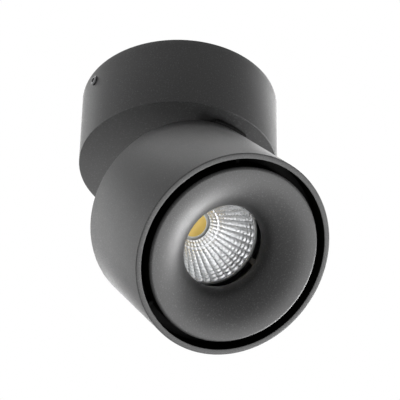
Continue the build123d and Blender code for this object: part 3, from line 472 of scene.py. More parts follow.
def round_edges(piece, test, width, segments=4):
    """Rounds the edges whose two ends both pass the test."""
    take(piece, "EDIT")
    pick(piece, "EDGE", lambda edge: all(test(vertex.co) for vertex in edge.verts))
    bpy.ops.mesh.bevel(offset=width, segments=segments, affect="EDGES")
    bpy.ops.object.mode_set(mode="OBJECT")


def round_rings(piece, stations, width, segments=4):
    """Rounds the ring edges of a turned piece that lie at the given stations."""
    for radius, level in stations:
        def on_ring(at):
            return abs(hypot(at.x, at.y) - radius) < 2 * MERGE and abs(at.z - level) < 2 * MERGE

        round_edges(piece, on_ring, width, segments)


def bevel_sharp(piece, width, segments=2, angle=40):
    """Breaks every sharp edge by a hair."""
    take(piece)
    modifier = piece.modifiers.new("Edges", "BEVEL")
    modifier.width, modifier.segments = width, segments
    modifier.limit_method, modifier.angle_limit = "ANGLE", radians(angle)
    bpy.ops.object.modifier_apply(modifier=modifier.name)
    return piece


def place(piece, at):
    """Moves the piece to a place and leaves its object at the origin."""
    take(piece)
    piece.matrix_world = at @ piece.matrix_world
    bpy.ops.object.transform_apply()
    return piece


def combine(piece, tool, operation):
    """Cuts, joins or intersects two closed pieces; the tool is used up."""
    take(piece)
    modifier = piece.modifiers.new(operation.title(), "BOOLEAN")
    modifier.operation, modifier.solver, modifier.object = operation, "EXACT", tool
    bpy.ops.object.modifier_apply(modifier=modifier.name)
    bpy.data.objects.remove(tool)
    return piece


def cut(piece, tool):
    return combine(piece, tool, "DIFFERENCE")


def fuse(piece, tool):
    return combine(piece, tool, "UNION")


def bore(piece, radius, low, high, sides=SMALL_SIDES, at=None):
    """Cuts a round hole, or with six sides a socket, along Z or along the Z of a place."""
    rod = prism("rod", radius, sides, low, high)
    return cut(piece, place(rod, at) if at else rod)


def gather(piece, *others):
    """One object out of several closed shells."""
    take(piece)
    for other in others:
        other.select_set(True)
    bpy.ops.object.join()
    return piece


def again(piece, name):
    """Copy of a piece with its own mesh."""
    copy = piece.copy()
    copy.data = piece.data.copy()
    copy.name = copy.data.name = name
    bpy.context.scene.collection.objects.link(copy)
    return copy


def spread(piece, phase, count=3):
    """Copies of a piece at equal turns about Z; the first one is used up."""
    copies = [again(piece, f"{piece.name}_{number}") for number in range(count)]
    bpy.data.objects.remove(piece)
    return [place(copy, turned(phase + number * 2 * pi / count)) for number, copy in enumerate(copies)]


def grommet(name, hole, neck, lip, near, far, thick, sides=SMALL_SIDES):
    """Grommet with a lip on each of the two faces of its sheet, from the near face to the far one."""
    way = 1 if near > far else -1
    out, room = way * thick, way * CLEAR
    piece = turn(name, [
        (hole, near + out), (lip, near + out), (lip, near + room), (neck, near + room),
        (neck, far - room), (lip, far - room), (lip, far - out), (hole, far - out),
    ], sides)
    return bevel_sharp(piece, 0.3 * MM, 3)


def paint_faces(piece, slot, further, test):
    """Gives the piece its finish, and a further one to the faces whose middle passes the test."""
    for key in (slot, further):
        piece.data.materials.append(finish(key))
    for face in piece.data.polygons:
        if test(face.center):
            face.material_index = 1


def finish_piece(piece, body, stands_for, slot, at=None):
    """Moves the piece into its body's frame, or to a place of its own, smooths it and gives it its finish."""
    place(piece, at or BODY_FRAMES[body]())
    bpy.ops.object.shade_smooth_by_angle(angle=SMOOTH_BELOW)
    if piece.data.materials:
        piece.data.materials[0] = finish(slot)
    else:
        piece.data.materials.append(finish(slot))
    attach(piece, body)
    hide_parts(stands_for)


# ---------------------------------------------------------------- wiring of the finishes
def put(tree, target, source):
    """A link where the source is a socket, a constant otherwise."""
    if isinstance(source, bpy.types.NodeSocket):
        tree.links.new(source, target)
    else:
        target.default_value = source


def feed(tree, made, **sources):
    """Feeds the node's inputs by their names."""
    for name, source in sources.items():
        put(tree, made.inputs[name.replace("_", " ")], source)
    return made.outputs


def node(tree, kind, **settings):
    made = tree.nodes.new("ShaderNode" + kind)
    for key, value in settings.items():
        setattr(made, key, value)
    return made


def sums(tree, operation, *given, kind="Math", result=0):
    made = node(tree, kind, operation=operation)
    for target, source in zip(made.inputs, given):
        put(tree, target, source)
    return made.outputs[result]


def own_place(tree):
    """Object coordinates."""
    return node(tree, "TexCoord").outputs["Object"]


def axes(tree, vector):
    return feed(tree, node(tree, "SeparateXYZ"), Vector=vector)


def noise(tree, place, scale, detail=2.0, roughness=0.5):
    made = node(tree, "TexNoise")
    return feed(tree, made, Vector=place, Scale=scale, Detail=detail, Roughness=roughness)["Fac"]


def span(tree, value, low, high, out_low=0.0, out_high=1.0):
    """The value's span from low to high, clamped and mapped."""
    made = node(tree, "MapRange", clamp=True)
    return feed(
        tree, made, Value=value, From_Min=low, From_Max=high, To_Min=out_low, To_Max=out_high
    )["Result"]


def blend_colours(tree, share, first, second, mode="MIX"):
    made = node(tree, "Mix", data_type="RGBA", blend_type=mode)
    for number, source in ((0, share), (6, first), (7, second)):        # the colour sockets of this node
        put(tree, made.inputs[number], source)
    return made.outputs[2]


def bump(tree, height, strength, distance):
    return feed(tree, node(tree, "Bump"), Strength=strength, Distance=distance, Height=height)["Normal"]


def colour(name):
    """A colour of the panel, as a shader takes it."""
    return (*getattr(bpy.context.scene.spot_colours, name), 1.0)


# ---------------------------------------------------------------- effects that several finishes share
TEXTURE = dict(Colour="Color", Roughness="Float", Normal="Vector")
MASK = dict(Share="Float")
BLACK, GRIME, DULL = (0, 0, 0, 1), (0.02, 0.02, 0.02, 1), (0.78, 0.78, 0.80, 1)


def shared_effect(name, gives, **takes):
    """The function below wires a node group of this name, which is built once and placed by effect."""
    def keep(wire):
        def group():
            if name not in bpy.data.node_groups:
                made = bpy.data.node_groups.new(name, "ShaderNodeTree")
                given, result = made.nodes.new("NodeGroupInput"), made.nodes.new("NodeGroupOutput")
                for way, rows in (("INPUT", takes), ("OUTPUT", gives)):
                    for title, kind in rows.items():
                        made.interface.new_socket(name=title, in_out=way, socket_type="NodeSocket" + kind)
                feed(made, result, **wire(made, given.outputs))
            return bpy.data.node_groups[name]

        return group

    return keep


def effect(tree, group, **given):
    made = node(tree, "Group", node_tree=group())
    return feed(tree, made, **given)


@shared_effect("Powder texture", TEXTURE, Coat="Color", Fleck="Color", Flecks="Float")
def powder_texture(group, given):
    """Pebbled powder coat with pale flecks."""
    place = own_place(group)
    pebbles = noise(group, place, scale=1700, detail=3, roughness=0.55)
    grains = noise(group, place, scale=5200, detail=2, roughness=0.6)
    broad = noise(group, place, scale=38, detail=3)
    height = sums(group, "ADD", pebbles, sums(group, "MULTIPLY", grains, 0.45))
    share = sums(group, "MULTIPLY", span(group, pebbles, 0.54, 0.70), given["Flecks"])
    shade = blend_colours(group, span(group, broad, 0.3, 0.7, 0.0, 0.22), given["Coat"], BLACK)
    return dict(
        Colour=blend_colours(group, share, shade, given["Fleck"]),
        Roughness=span(group, pebbles, 0.3, 0.7, 0.38, 0.60),
        Normal=bump(group, height, strength=0.28, distance=0.00006),
    )


@shared_effect("Painted edge highlight", MASK)
def edge_highlight(group, given):
    """Share of a surface that lies on a rounded edge, where a paler colour paints a highlight, broken into
    patches.
    """
    rounded = feed(group, node(group, "Bevel", samples=4), Radius=0.0005)["Normal"]
    normal = node(group, "NewGeometry").outputs["Normal"]
    meet = sums(group, "DOT_PRODUCT", rounded, normal, kind="VectorMath", result="Value")
    off = span(group, sums(group, "SUBTRACT", 1.0, meet), 0.01, 0.15)
    broken = span(group, noise(group, own_place(group), scale=260, detail=3), 0.3, 0.7)
    return dict(Share=sums(group, "MULTIPLY", off, broken))


@shared_effect("Settled dust", MASK)
def settled_dust(group, given):
    """Thin, uneven dust on faces that look up."""
    upward = axes(group, node(group, "NewGeometry").outputs["Normal"])["Z"]
    patches = span(group, noise(group, own_place(group), scale=170, detail=4, roughness=0.6), 0.42, 0.68)
    return dict(Share=sums(group, "MULTIPLY", span(group, upward, 0.35, 0.95), patches))


@shared_effect("Plated metal", TEXTURE, Metal="Color", Gloss="Float", Grain="Float")
def plated_metal(group, given):
    """Plated or cast metal: fine mottling, faint scratches and a varied gloss."""
    place = own_place(group)
    grain = noise(group, place, scale=given["Grain"], detail=4)
    mottle = span(group, noise(group, place, scale=140, detail=3), 0.3, 0.7)
    dark = blend_colours(group, 1.0, given["Metal"], DULL, "MULTIPLY")
    return dict(
        Colour=blend_colours(group, mottle, given["Metal"], dark),
        Roughness=sums(group, "MULTIPLY_ADD", grain, 0.18, given["Gloss"]),
        Normal=bump(group, grain, strength=0.3, distance=0.00002),
    )


@shared_effect("Moulded", TEXTURE, Plastic="Color", Gloss="Float")
def moulded(group, given):
    """Moulded plastic or rubber: slight orange peel and a varied sheen."""
    place = own_place(group)
    peel = noise(group, place, scale=1500, detail=3)
    broad = span(group, noise(group, place, scale=90), 0.3, 0.7, 0.0, 0.14)
    return dict(
        Colour=blend_colours(group, broad, given["Plastic"], GRIME),
        Roughness=sums(group, "MULTIPLY_ADD", peel, 0.16, given["Gloss"]),
        Normal=bump(group, peel, strength=0.25, distance=0.00003),
    )


# ---------------------------------------------------------------- finishes, as inputs of their shader
def powder_coat(tree, coat, fleck, flecks, edge=0.5, specular=0.36):
    """Textured powder coat with painted highlights on its rounded edges and a trace of dust."""
    fleck = colour(fleck)
    powder = effect(tree, powder_texture, Coat=colour(coat), Fleck=fleck, Flecks=flecks)
    # Painted highlight: the rounded edges take the paler fleck colour
    rim = sums(tree, "MULTIPLY", effect(tree, edge_highlight)["Share"], edge)
    dust = sums(tree, "MULTIPLY", effect(tree, settled_dust)["Share"], 0.10)
    worn = blend_colours(tree, rim, powder["Colour"], fleck)
    return dict(
        Base_Color=blend_colours(tree, dust, worn, colour("dust")),
        Roughness=powder["Roughness"],
        Normal=powder["Normal"],
        Specular_IOR_Level=specular,
    )


def metal(tree, tint, gloss, grain, edge=0.0):
    plated = effect(tree, plated_metal, Metal=colour(tint), Gloss=gloss, Grain=grain)
    base = plated["Colour"]
    if edge:
        # Painted highlight: a paler metal on the rounded edges
        rim = sums(tree, "MULTIPLY", effect(tree, edge_highlight)["Share"], edge)
        base = blend_colours(tree, rim, base, colour("worn_metal"))
    return dict(Base_Color=base, Roughness=plated["Roughness"], Normal=plated["Normal"], Metallic=1.0)


def plastic(tree, tint, gloss, specular=0.5):
    made = effect(tree, moulded, Plastic=colour(tint), Gloss=gloss)
    return dict(
        Base_Color=made["Colour"],
        Roughness=made["Roughness"],
        Normal=made["Normal"],
        Specular_IOR_Level=specular,
    )


def head_place(tree):
    """Object coordinates turned into the head's own frame: Z is the depth from the front face."""
    at = head_frame()
    made = node(tree, "Mapping", vector_type="TEXTURE")
    return feed(
        tree, made, Vector=own_place(tree), Location=at.to_translation(), Rotation=at.to_euler()
    )["Vector"]


def axis_radius(tree, place):
    """Distance from the head's axis."""
    flat = sums(tree, "MULTIPLY", place, (1, 1, 0), kind="VectorMath", result="Vector")
    return sums(tree, "LENGTH", flat, kind="VectorMath", result="Value")


def flute_silver(tree):
    """Metallised plastic: bright, with painted dark reflections along the ridges between the flutes, rippled
    across; a satin rim.
    """
    sizes = bpy.context.scene.spot_reflector
    place = head_place(tree)
    x, y, depth = axes(tree, place)
    ridge = sizes.flute_phase - pi / sizes.flutes
    angle = sums(tree, "SUBTRACT", sums(tree, "ARCTAN2", y, x), ridge)
    flute = sums(tree, "FRACT", sums(tree, "MULTIPLY", angle, sizes.flutes / (2 * pi)))
    # Painted dark reflections: grey lines along the ridges between the flutes
    line = span(tree, sums(tree, "ABSOLUTE", sums(tree, "SUBTRACT", flute, 0.5)), 0.36, 0.49, 0.0, 0.55)
    rim = span(tree, axis_radius(tree, place), sizes.rim_radius, sizes.rim_radius + 0.1 * MM)
    speck = noise(tree, place, scale=1400, detail=3)
    shade = blend_colours(tree, line, colour("silver"), colour("flute_line"))
    shade = blend_colours(tree, span(tree, speck, 0.4, 0.7, 0.0, 0.08), shade, colour("silver_speck"))
    wobble = sums(tree, "MULTIPLY", noise(tree, place, scale=160), 0.00015)
    along = sums(tree, "ADD", depth, wobble)
    ripple = sums(tree, "SINE", sums(tree, "MULTIPLY", along, 2 * pi / sizes.ripple))
    height = sums(tree, "ADD", ripple, sums(tree, "MULTIPLY", speck, 0.03))
    return dict(
        Base_Color=blend_colours(tree, rim, shade, colour("rim")),
        Metallic=span(tree, rim, 0.0, 1.0, 0.70, 0.0),
        Roughness=span(tree, rim, 0.0, 1.0, 0.17, 0.5),
        Normal=bump(tree, height, strength=0.7, distance=0.00006),
    )


def phosphor(tree):
    """Silicone with phosphor inside a white dam; the chips under it show as a faint grid."""
    sizes = bpy.context.scene.spot_source
    place = head_place(tree)
    edge = sizes.emitter_radius - sizes.dam_width
    grid = node(tree, "TexVoronoi", distance="CHEBYCHEV")
    chips = span(tree, feed(tree, grid, Vector=place, Scale=820, Randomness=0.12)["Distance"], 0.18, 0.36)
    cloud = span(tree, noise(tree, place, scale=600, detail=3), 0.35, 0.65, 0.0, 0.5)
    clear = blend_colours(tree, sums(tree, "MULTIPLY", chips, 0.30), colour("phosphor"), colour("chips"))
    milky = blend_colours(tree, cloud, clear, blend_colours(tree, 1.0, clear, colour("milk"), "MULTIPLY"))
    ring = span(tree, axis_radius(tree, place), edge - 0.06 * MM, edge + 0.06 * MM)
    return dict(
        Base_Color=blend_colours(tree, ring, milky, colour("dam")),
        Roughness=span(tree, cloud, 0.0, 0.5, 0.32, 0.45),
        Normal=bump(tree, noise(tree, place, scale=900), strength=0.2, distance=0.00004),
    )


def board_resist(tree):
    """White solder resist with copper pads near two corners of the board."""
    pad_place = bpy.context.scene.spot_source.pad_place
    x, y, _ = axes(tree, head_place(tree))
    cross = sums(tree, "ABSOLUTE", sums(tree, "ADD", x, y))
    resist = effect(tree, moulded, Plastic=colour("board_white"), Gloss=0.3)
    pads = span(tree, cross, pad_place, pad_place + 0.2 * MM)
    return dict(
        Base_Color=blend_colours(tree, pads, resist["Colour"], colour("copper")),
        Roughness=resist["Roughness"],
        Normal=resist["Normal"],
    )


def circuit_resist(tree):
    """Green solder resist with pale tracks."""
    place = own_place(tree)
    tracks = feed(
        tree, node(tree, "TexBrick"), Vector=place, Scale=180, Mortar_Size=0.06,
        Color1=colour("circuit"), Color2=colour("circuit_dark"), Mortar=colour("tracks"),
    )
    return dict(
        Base_Color=tracks["Color"],
        Roughness=span(tree, noise(tree, place, scale=400), 0.3, 0.7, 0.25, 0.4),
        Normal=bump(tree, tracks["Fac"], strength=0.3, distance=0.00004),
    )


# slot: its material, how that is made, and from which colours and values
FINISHES = {
    "charcoal_powder_coat": (
        "Charcoal powder coat", powder_coat, dict(coat="coat", fleck="fleck", flecks=0.55)
    ),
    "rear_powder_coat": (
        "Rear powder coat", powder_coat, dict(coat="rear_coat", fleck="rear_fleck", flecks=0.45, specular=0.2)
    ),
    # Painted shade: the walls of the shadow gap get a near-black coat without gloss, so they read as dark as
    # the shade in the gap
    "channel_painted_shade": (
        "Channel painted shade", powder_coat, dict(coat="gap", fleck="coat", flecks=0.2, edge=0.0, specular=0.0)
    ),
    # Darker legs: partly their own colour, partly painted shade
    "leg_black_and_shade": ("Leg black", powder_coat, dict(coat="leg", fleck="coat", flecks=0.2, edge=0.0)),
    # Bracket finish: partly its own black coat, partly painted shade
    "black_steel": (
        "Black coated steel and painted shade",
        powder_coat,
        dict(coat="black_steel", fleck="steel_fleck", flecks=0.2, edge=0.3, specular=0.2),
    ),
    "black_oxide_screw": ("Black oxide", metal, dict(tint="oxide", gloss=0.34, grain=1200, edge=0.5)),
    "zinc_plated_steel": ("Zinc plate", metal, dict(tint="zinc", gloss=0.42, grain=700)),
    "brass": ("Brass", metal, dict(tint="brass", gloss=0.26, grain=1100)),
    "cast_aluminium": ("Cast aluminium", metal, dict(tint="cast", gloss=0.36, grain=520)),
    "black_rubber": ("Black rubber", plastic, dict(tint="rubber", gloss=0.6, specular=0.3)),
    "black_plastic": ("Black plastic", plastic, dict(tint="black_plastic", gloss=0.5, specular=0.03)),
    "holder_white": ("Holder plastic", plastic, dict(tint="holder", gloss=0.4)),
    "white_plastic": ("White plastic", plastic, dict(tint="white_plastic", gloss=0.35)),
    "nylon": ("Nylon", plastic, dict(tint="nylon", gloss=0.45)),
    "thermal_pad": ("Thermal pad", plastic, dict(tint="pad", gloss=0.6)),
    "reflector_silver": ("Metallised flutes", flute_silver, {}),
    "phosphor_yellow": ("Phosphor and dam", phosphor, {}),
    "board_white": ("Board resist", board_resist, {}),
    "circuit_resist": ("Circuit resist", circuit_resist, {}),
}


def new_material(name):
    material = bpy.data.materials.new(name)
    material.use_nodes = True
    return material, material.node_tree, material.node_tree.nodes["Principled BSDF"]


def finish(slot):
    """The material of a slot, built when it is first asked for."""
    name, inputs, values = FINISHES[slot]
    if name not in bpy.data.materials:
        _, tree, shader = new_material(name)
        feed(tree, shader, **inputs(tree, **values))
    return bpy.data.materials[name]


# ---------------------------------------------------------------- pieces
class SPOTLIGHT_OT_canopy(bpy.types.Operator):
    """Canopy: a powder coated cup with rounded rims, holes for the set screws and an earth boss"""

    bl_idname = "spotlight.canopy"
    bl_label = "Canopy"

    def execute(self, context):
        sizes = context.scene.spot_canopy
        radius, wall, bottom = sizes.radius, sizes.radius - sizes.wall, -sizes.height
        inside, recess = bottom + sizes.floor, bottom + sizes.recess_depth
        band = sizes.screw_hole + 0.8 * MM
        above, below = band - sizes.screw_drop, -sizes.screw_drop - band
        cup = turn("canopy", [
            (radius, 0), (radius, above), (radius, below), (radius, bottom),
            (sizes.recess_radius, bottom), (sizes.recess_radius, recess),
            (sizes.spindle_hole, recess), (sizes.spindle_hole, inside),
            (wall, inside), (wall, below), (wall, above), (wall, 0),
        ])
        round_rings(cup, [(radius, 0), (radius, bottom)], sizes.edge)
        bore(cup, sizes.screw_hole, -1.2 * radius, 1.2 * radius, at=shift(z=-sizes.screw_drop) @ ACROSS)
        boss_top = inside + sizes.boss_height
        boss = hoop("boss", sizes.boss_hole, sizes.boss_radius, inside - BITE, boss_top, SMALL_SIDES)
        gather(cup, place(boss, shift(y=-sizes.boss_offset)))
        finish_piece(cup, "canopy", "canopy_shell", "charcoal_powder_coat")
        return {"FINISHED"}


class SPOTLIGHT_OT_set_screws(bpy.types.Operator):
    """Two socket set screws in the canopy's wall"""

    bl_idname = "spotlight.set_screws"
    bl_label = "Set screws"

    def execute(self, context):
        sizes = context.scene.spot_canopy
        shank, pitch = sizes.screw_radius, sizes.thread_pitch
        groove, cup, key = 0.18 * MM, 0.5 * MM, 1 * MM / cos(pi / 6)
        thread = [(shank, 0.5 * MM)]
        for level in (pitch * (1 + step) for step in range(6)):
            thread += [(shank, level), (shank - groove, level + pitch / 2)]
        left = turn("set_screw_left", [
            (1.45 * MM, 0), (1.72 * MM, 0.06 * MM), *thread,
            (shank, 5.4 * MM), (shank - cup, sizes.screw_length),
        ], SMALL_SIDES, solid=True)
        bore(left, key, -0.5 * MM, 1.6 * MM, 6)
        bevel_sharp(left, 0.05 * MM, angle=50)
        right = again(left, "set_screw_right")
        for screw, side in ((left, -1), (right, 1)):
            reach = side * (sizes.radius + sizes.screw_proud)
            at = shift(y=reach, z=-sizes.screw_drop) @ turned(side * radians(90), "X")
            finish_piece(screw, "canopy", "canopy_set_screws", "black_oxide_screw", at)
        return {"FINISHED"}


class SPOTLIGHT_OT_ceiling_plate(bpy.types.Operator):
    """Ceiling plate with its dish, slots and ears, and the cable grommet in it"""

    bl_idname = "spotlight.ceiling_plate"
    bl_label = "Ceiling plate"

    def execute(self, context):
        sizes = context.scene.spot_plate
        thick, top, under = sizes.thickness, -sizes.dish_depth, -sizes.dish_depth - sizes.thickness
        slope = sizes.dish_radius + sizes.dish_depth
        plate = turn("ceiling_plate", [
            (sizes.hole, top), (sizes.dish_radius, top), (slope, 0), (sizes.radius, 0),
            (sizes.radius, -thick), (slope, -thick), (sizes.dish_radius, under), (sizes.hole, under),
        ])
        half, run, deep = sizes.slot_width / 2, (sizes.slot_length - sizes.slot_width) / 2, 4 * MM
        for middle in (-sizes.slot_spacing / 2, sizes.slot_spacing / 2):
            ends = middle - run, middle + run
            slot = block("slot", (ends[0], -half, -deep), (ends[1], half, deep))
            for end in ends:
                fuse(slot, place(prism("end", half, HOLE_SIDES, -deep, deep), shift(end)))
            cut(plate, slot)
        inner, outer = sizes.radius - sizes.ear_depth, sizes.radius
        low, high, half = -sizes.ear_drop, -thick / 2, sizes.ear_width / 2
        ears = turn("ears", [(outer, high), (outer, low), (inner, low), (inner, high)])
        combine(ears, block("width", (-half, -1, -1), (half, 1, 1)), "INTERSECT")
        fuse(plate, ears)
        level = shift(z=-context.scene.spot_canopy.screw_drop)
        bore(plate, sizes.ear_hole, -THROUGH / 2, THROUGH / 2, at=level @ ACROSS)
        bevel_sharp(plate, 0.12 * MM)
        finish_piece(plate, "canopy", "ceiling_plate", "zinc_plated_steel")
        neck, lip = sizes.hole - 5 * CLEAR, sizes.hole + sizes.grommet_lip
        rubber = grommet(
            "cable_grommet", sizes.grommet_bore, neck, lip, top, under, sizes.lip_thickness, MIDDLE_SIDES
        )
        finish_piece(rubber, "canopy", "cable_grommet", "black_rubber")
        return {"FINISHED"}


class SPOTLIGHT_OT_hinge_bracket(bpy.types.Operator):
    """Folded hinge bracket with its hooked ears, and the hollow swivel spindle"""

    bl_idname = "spotlight.hinge_bracket"
    bl_label = "Hinge bracket and spindle"

    def execute(self, context):
        sizes = context.scene.spot_hinge
        top, under = -sizes.arm_gap, -sizes.arm_gap - sizes.arm_thickness
        half = sizes.arm_width / 2
        arm = prism("hinge_bracket", sizes.arm_end, SIDES, under, top)
        combine(arm, block("strip", (0, -half, -1), (1, half, 1)), "INTERSECT")
        fuse(arm, prism("hub", sizes.hub_radius, MIDDLE_SIDES, under, top))
        bore(arm, sizes.spindle_radius + CLEAR, -THROUGH, THROUGH, MIDDLE_SIDES)
        for side in (-1, 1):
            fuse(arm, self.ear(sizes, *sorted((side * half, side * (half - sizes.arm_thickness))), under))
        bevel_sharp(arm, 0.18 * MM, 3)
        # The bracket's near-black finish is partly painted shade
        finish_piece(arm, "swivel_arm", "hinge_bracket", "black_steel")
        flange, end = under - sizes.flange_thickness, under + sizes.spindle_length
        spindle = turn("swivel_spindle", [
            (sizes.spindle_bore, flange), (sizes.flange_radius, flange),
            (sizes.flange_radius, under - CLEAR), (sizes.spindle_radius, under - CLEAR),
            (sizes.spindle_radius, end), (sizes.spindle_bore, end),
        ], MIDDLE_SIDES)
        bevel_sharp(spindle, 0.25 * MM, 3)
        finish_piece(spindle, "swivel_arm", "swivel_spindle", "zinc_plated_steel")
        return {"FINISHED"}

    def ear(self, sizes, near, far, under):
        """Hooked ear between two sides: a column, a foot and an eye, its corners rounded in edit mode."""
        inner, outer, eye = sizes.ear_inner, sizes.ear_outer, sizes.eye_radius
        low, shoulder, tip = -sizes.drop - eye, -sizes.drop + eye, sizes.reach + eye
        ear = block("ear", (inner, near, shoulder), (outer, far, under + 0.4 * MM))
        take(ear, "EDIT")
        pick(ear, "FACE", lambda face: face.normal.z < -0.99)
        extrude(z=-2 * eye)
        foot = -sizes.drop + BITE
        pick(ear, "FACE", lambda face: face.normal.x > 0.99 and face.calc_center_median().z < foot)
        extrude(x=tip - outer)
        for x, z, width, segments in (
            (inner, low, sizes.ear_bend, 12),
            (outer, shoulder, sizes.ear_throat, 8),
            (tip, low, FULL_ROUND * eye, 12),
            (tip, shoulder, FULL_ROUND * eye, 12),
        ):
            round_edges(ear, lambda at: abs(at.x - x) < MERGE and abs(at.z - z) < MERGE, width, segments)
        return ear


class SPOTLIGHT_OT_hinge_pin(bpy.types.Operator):
    """Hinge pin with its socket head, the two washers and the lock nut"""

    bl_idname = "spotlight.hinge_pin"
    bl_label = "Hinge pin, washers and nut"

    def execute(self, context):
        sizes = context.scene.spot_hinge
        shank, head = sizes.pin_radius, sizes.pin_head
        washer = sizes.arm_width / 2 + 10 * CLEAR
        face = washer + sizes.washer_thickness
        nut_end, tail = face + sizes.nut_height, face + 1.8 * MM
        pin = turn("hinge_pin", [
            (1.9 * MM, -face - sizes.pin_head_height), (2.3 * MM, -face - 1.38 * MM), (head, -face - 1.05 * MM),
            (head, -face), (shank, -face), (shank, tail - 0.2 * MM), (shank - 0.2 * MM, tail),
        ], SMALL_SIDES, solid=True)
        bore(pin, sizes.pin_key, -face - 2 * MM, -face - 0.8 * MM, 6)
        nut = prism("hinge_lock_nut", head / cos(pi / 6), 6, face, nut_end)
        round_off = turn("round_off", [
            (2.45 * MM, nut_end), (2.95 * MM, nut_end - 0.3 * MM), (2.95 * MM, face - MM),
        ], SMALL_SIDES, solid=True)
        combine(nut, round_off, "INTERSECT")
        bore(nut, shank + CLEAR, 0, THROUGH, HOLE_SIDES)
        hole = shank + 5 * CLEAR
        near = hoop("hinge_washer_nut_side", hole, sizes.washer_radius, washer, face, SMALL_SIDES)
        bevel_sharp(near, 0.06 * MM)
        far = place(again(near, "hinge_washer_head_side"), shift(z=-washer - face))
        for piece, stands_for in (
            (pin, "hinge_pin"), (nut, "hinge_lock_nut"), (near, "hinge_washers"), (far, "hinge_washers")
        ):
            finish_piece(piece, "head", stands_for, "black_oxide_screw", hinge_frame())
        return {"FINISHED"}


class SPOTLIGHT_OT_housing(bpy.types.Operator):
    """Head housing: a tube with a slight draft, the heat sink's ledge and the hinge lug"""

    bl_idname = "spotlight.housing"
    bl_label = "Head housing"

    def execute(self, context):
        sizes, hinge = context.scene.spot_head, context.scene.spot_hinge
        ledge, front, rear = sizes.seat_depth - sizes.ledge_thickness, sizes.front_bore, sizes.rear_radius
        tube = turn("head_housing", [
            (front, 0), (sizes.radius, 0), (rear, sizes.length), (sizes.bore, sizes.length),
            (sizes.bore, sizes.seat_depth), (sizes.ledge_radius, sizes.seat_depth),
            (sizes.ledge_radius, ledge), (sizes.bore, ledge - sizes.ledge_thickness),
            (sizes.bore, sizes.front_depth), (front, sizes.front_depth),
        ])
        round_rings(tube, [(sizes.radius, 0), (rear, sizes.length)], sizes.edge)
        round_rings(tube, [(front, 0), (sizes.bore, sizes.length)], sizes.inner_edge, 3)

        # The front bore's faces inside the shadow gap, which get the painted shade
        def in_shaded_gap(at):
            return hypot(at.x, at.y) < (front + sizes.radius) / 2 and 0.3 * MM < at.z < sizes.front_depth

        paint_faces(tube, "charcoal_powder_coat", "channel_painted_shade", in_shaded_gap)
        half, depth, nose = sizes.lug_width / 2, sizes.pin_depth, hinge.reach - sizes.lug_radius
        low, high = depth - sizes.lug_radius, depth + sizes.lug_radius
        lug = block("lug", (nose, -half, low), (sizes.bore + 0.4 * MM, half, high))
        for corner in (low, high):
            round_edges(
                lug,
                lambda at: abs(at.x - nose) < MERGE and abs(at.z - corner) < MERGE,
                FULL_ROUND * sizes.lug_radius,
                10,
            )
        pin, long = shift(hinge.reach, z=depth) @ ACROSS, 20 * MM
        bore(lug, hinge.pin_radius + CLEAR, -long, long, HOLE_SIDES, pin)
        finish_piece(gather(tube, lug), "head", "head_housing", "charcoal_powder_coat")
        return {"FINISHED"}


class SPOTLIGHT_OT_rear_cover(bpy.types.Operator):
    """Rear cover with its pocket, its three screws and the lead's grommet"""

    bl_idname = "spotlight.rear_cover"
    bl_label = "Rear cover, screws and grommet"

    def execute(self, context):
        sizes = context.scene.spot_head
        inner, outer = sizes.cover_depth, sizes.cover_depth + sizes.cover_thickness
        lead = shift(-sizes.lead_offset)
        cover = prism("rear_cover", sizes.bore - 0.2 * MM, SIDES, inner, outer)
        half = sizes.pocket_width / 2
        cut(cover, block("pocket", (sizes.pocket_start, -half, 0), (THROUGH, half, THROUGH)))
        bore(cover, sizes.lead_hole, 0, THROUGH, at=lead)
        bevel_sharp(cover, 0.2 * MM, 3)
        finish_piece(cover, "head", "rear_cover", "rear_powder_coat")
        shank, head, seat = sizes.screw_radius, sizes.screw_head, outer + 0.005 * MM
        first = turn("cover_screw_1", [
            (shank, inner - 4 * MM), (shank, seat), (head, seat), (head, outer + 0.7 * MM),
            (1.95 * MM, outer + 1.2 * MM), (1.3 * MM, outer + 1.5 * MM),
        ], SMALL_SIDES, solid=True)
        level, long, narrow = outer + 0.8 * MM, 1.25 * MM, 0.3 * MM
        cross = block("cross", (-long, -narrow, level), (long, narrow, THROUGH))
        fuse(cross, block("cross_arm", (-narrow, -long, level), (narrow, long, THROUGH)))
        bevel_sharp(cut(first, cross), 0.05 * MM)
        for number, screw in enumerate((first, again(first, "cover_screw_2"), again(first, "cover_screw_3"))):
            angle = radians(90 + 90 * number)
            spot = Vector((cos(angle), sin(angle), 0)) * sizes.screw_circle
            at = head_frame() @ shift(*spot) @ turned(radians(25 * number))
            finish_piece(screw, "head", "rear_cover_screws", "black_oxide_screw", at)
        neck = sizes.lead_hole - 5 * CLEAR
        rubber = grommet(
            "lead_grommet", sizes.lead_bore, neck, sizes.lead_lip, inner, outer, sizes.lip_thickness
        )
        finish_piece(rubber, "head", "lead_grommet", "black_rubber", head_frame() @ lead)
        return {"FINISHED"}


class SPOTLIGHT_OT_spacer_ring(bpy.types.Operator):
    """Black ring at the bottom of the shadow gap, with its three small ribs"""

    bl_idname = "spotlight.spacer_ring"
    bl_label = "Spacer ring"

    def execute(self, context):
        sizes, depth = context.scene.spot_baffle, context.scene.spot_head.front_depth
        ring = hoop("spacer_ring", sizes.ring_inner, sizes.ring_outer, sizes.skirt_depth, depth)
        half = sizes.rib_width / 2
        rib = block(
            "rib",
            (sizes.lip_radius + 0.3 * MM, -half, sizes.rib_front),
            (sizes.ring_outer - 2 * CLEAR, half, sizes.skirt_depth + BITE),
        )
        gather(ring, *spread(bevel_sharp(rib, 0.15 * MM), sizes.rib_phase))
        finish_piece(ring, "head", "spacer_ring", "black_plastic")
        return {"FINISHED"}


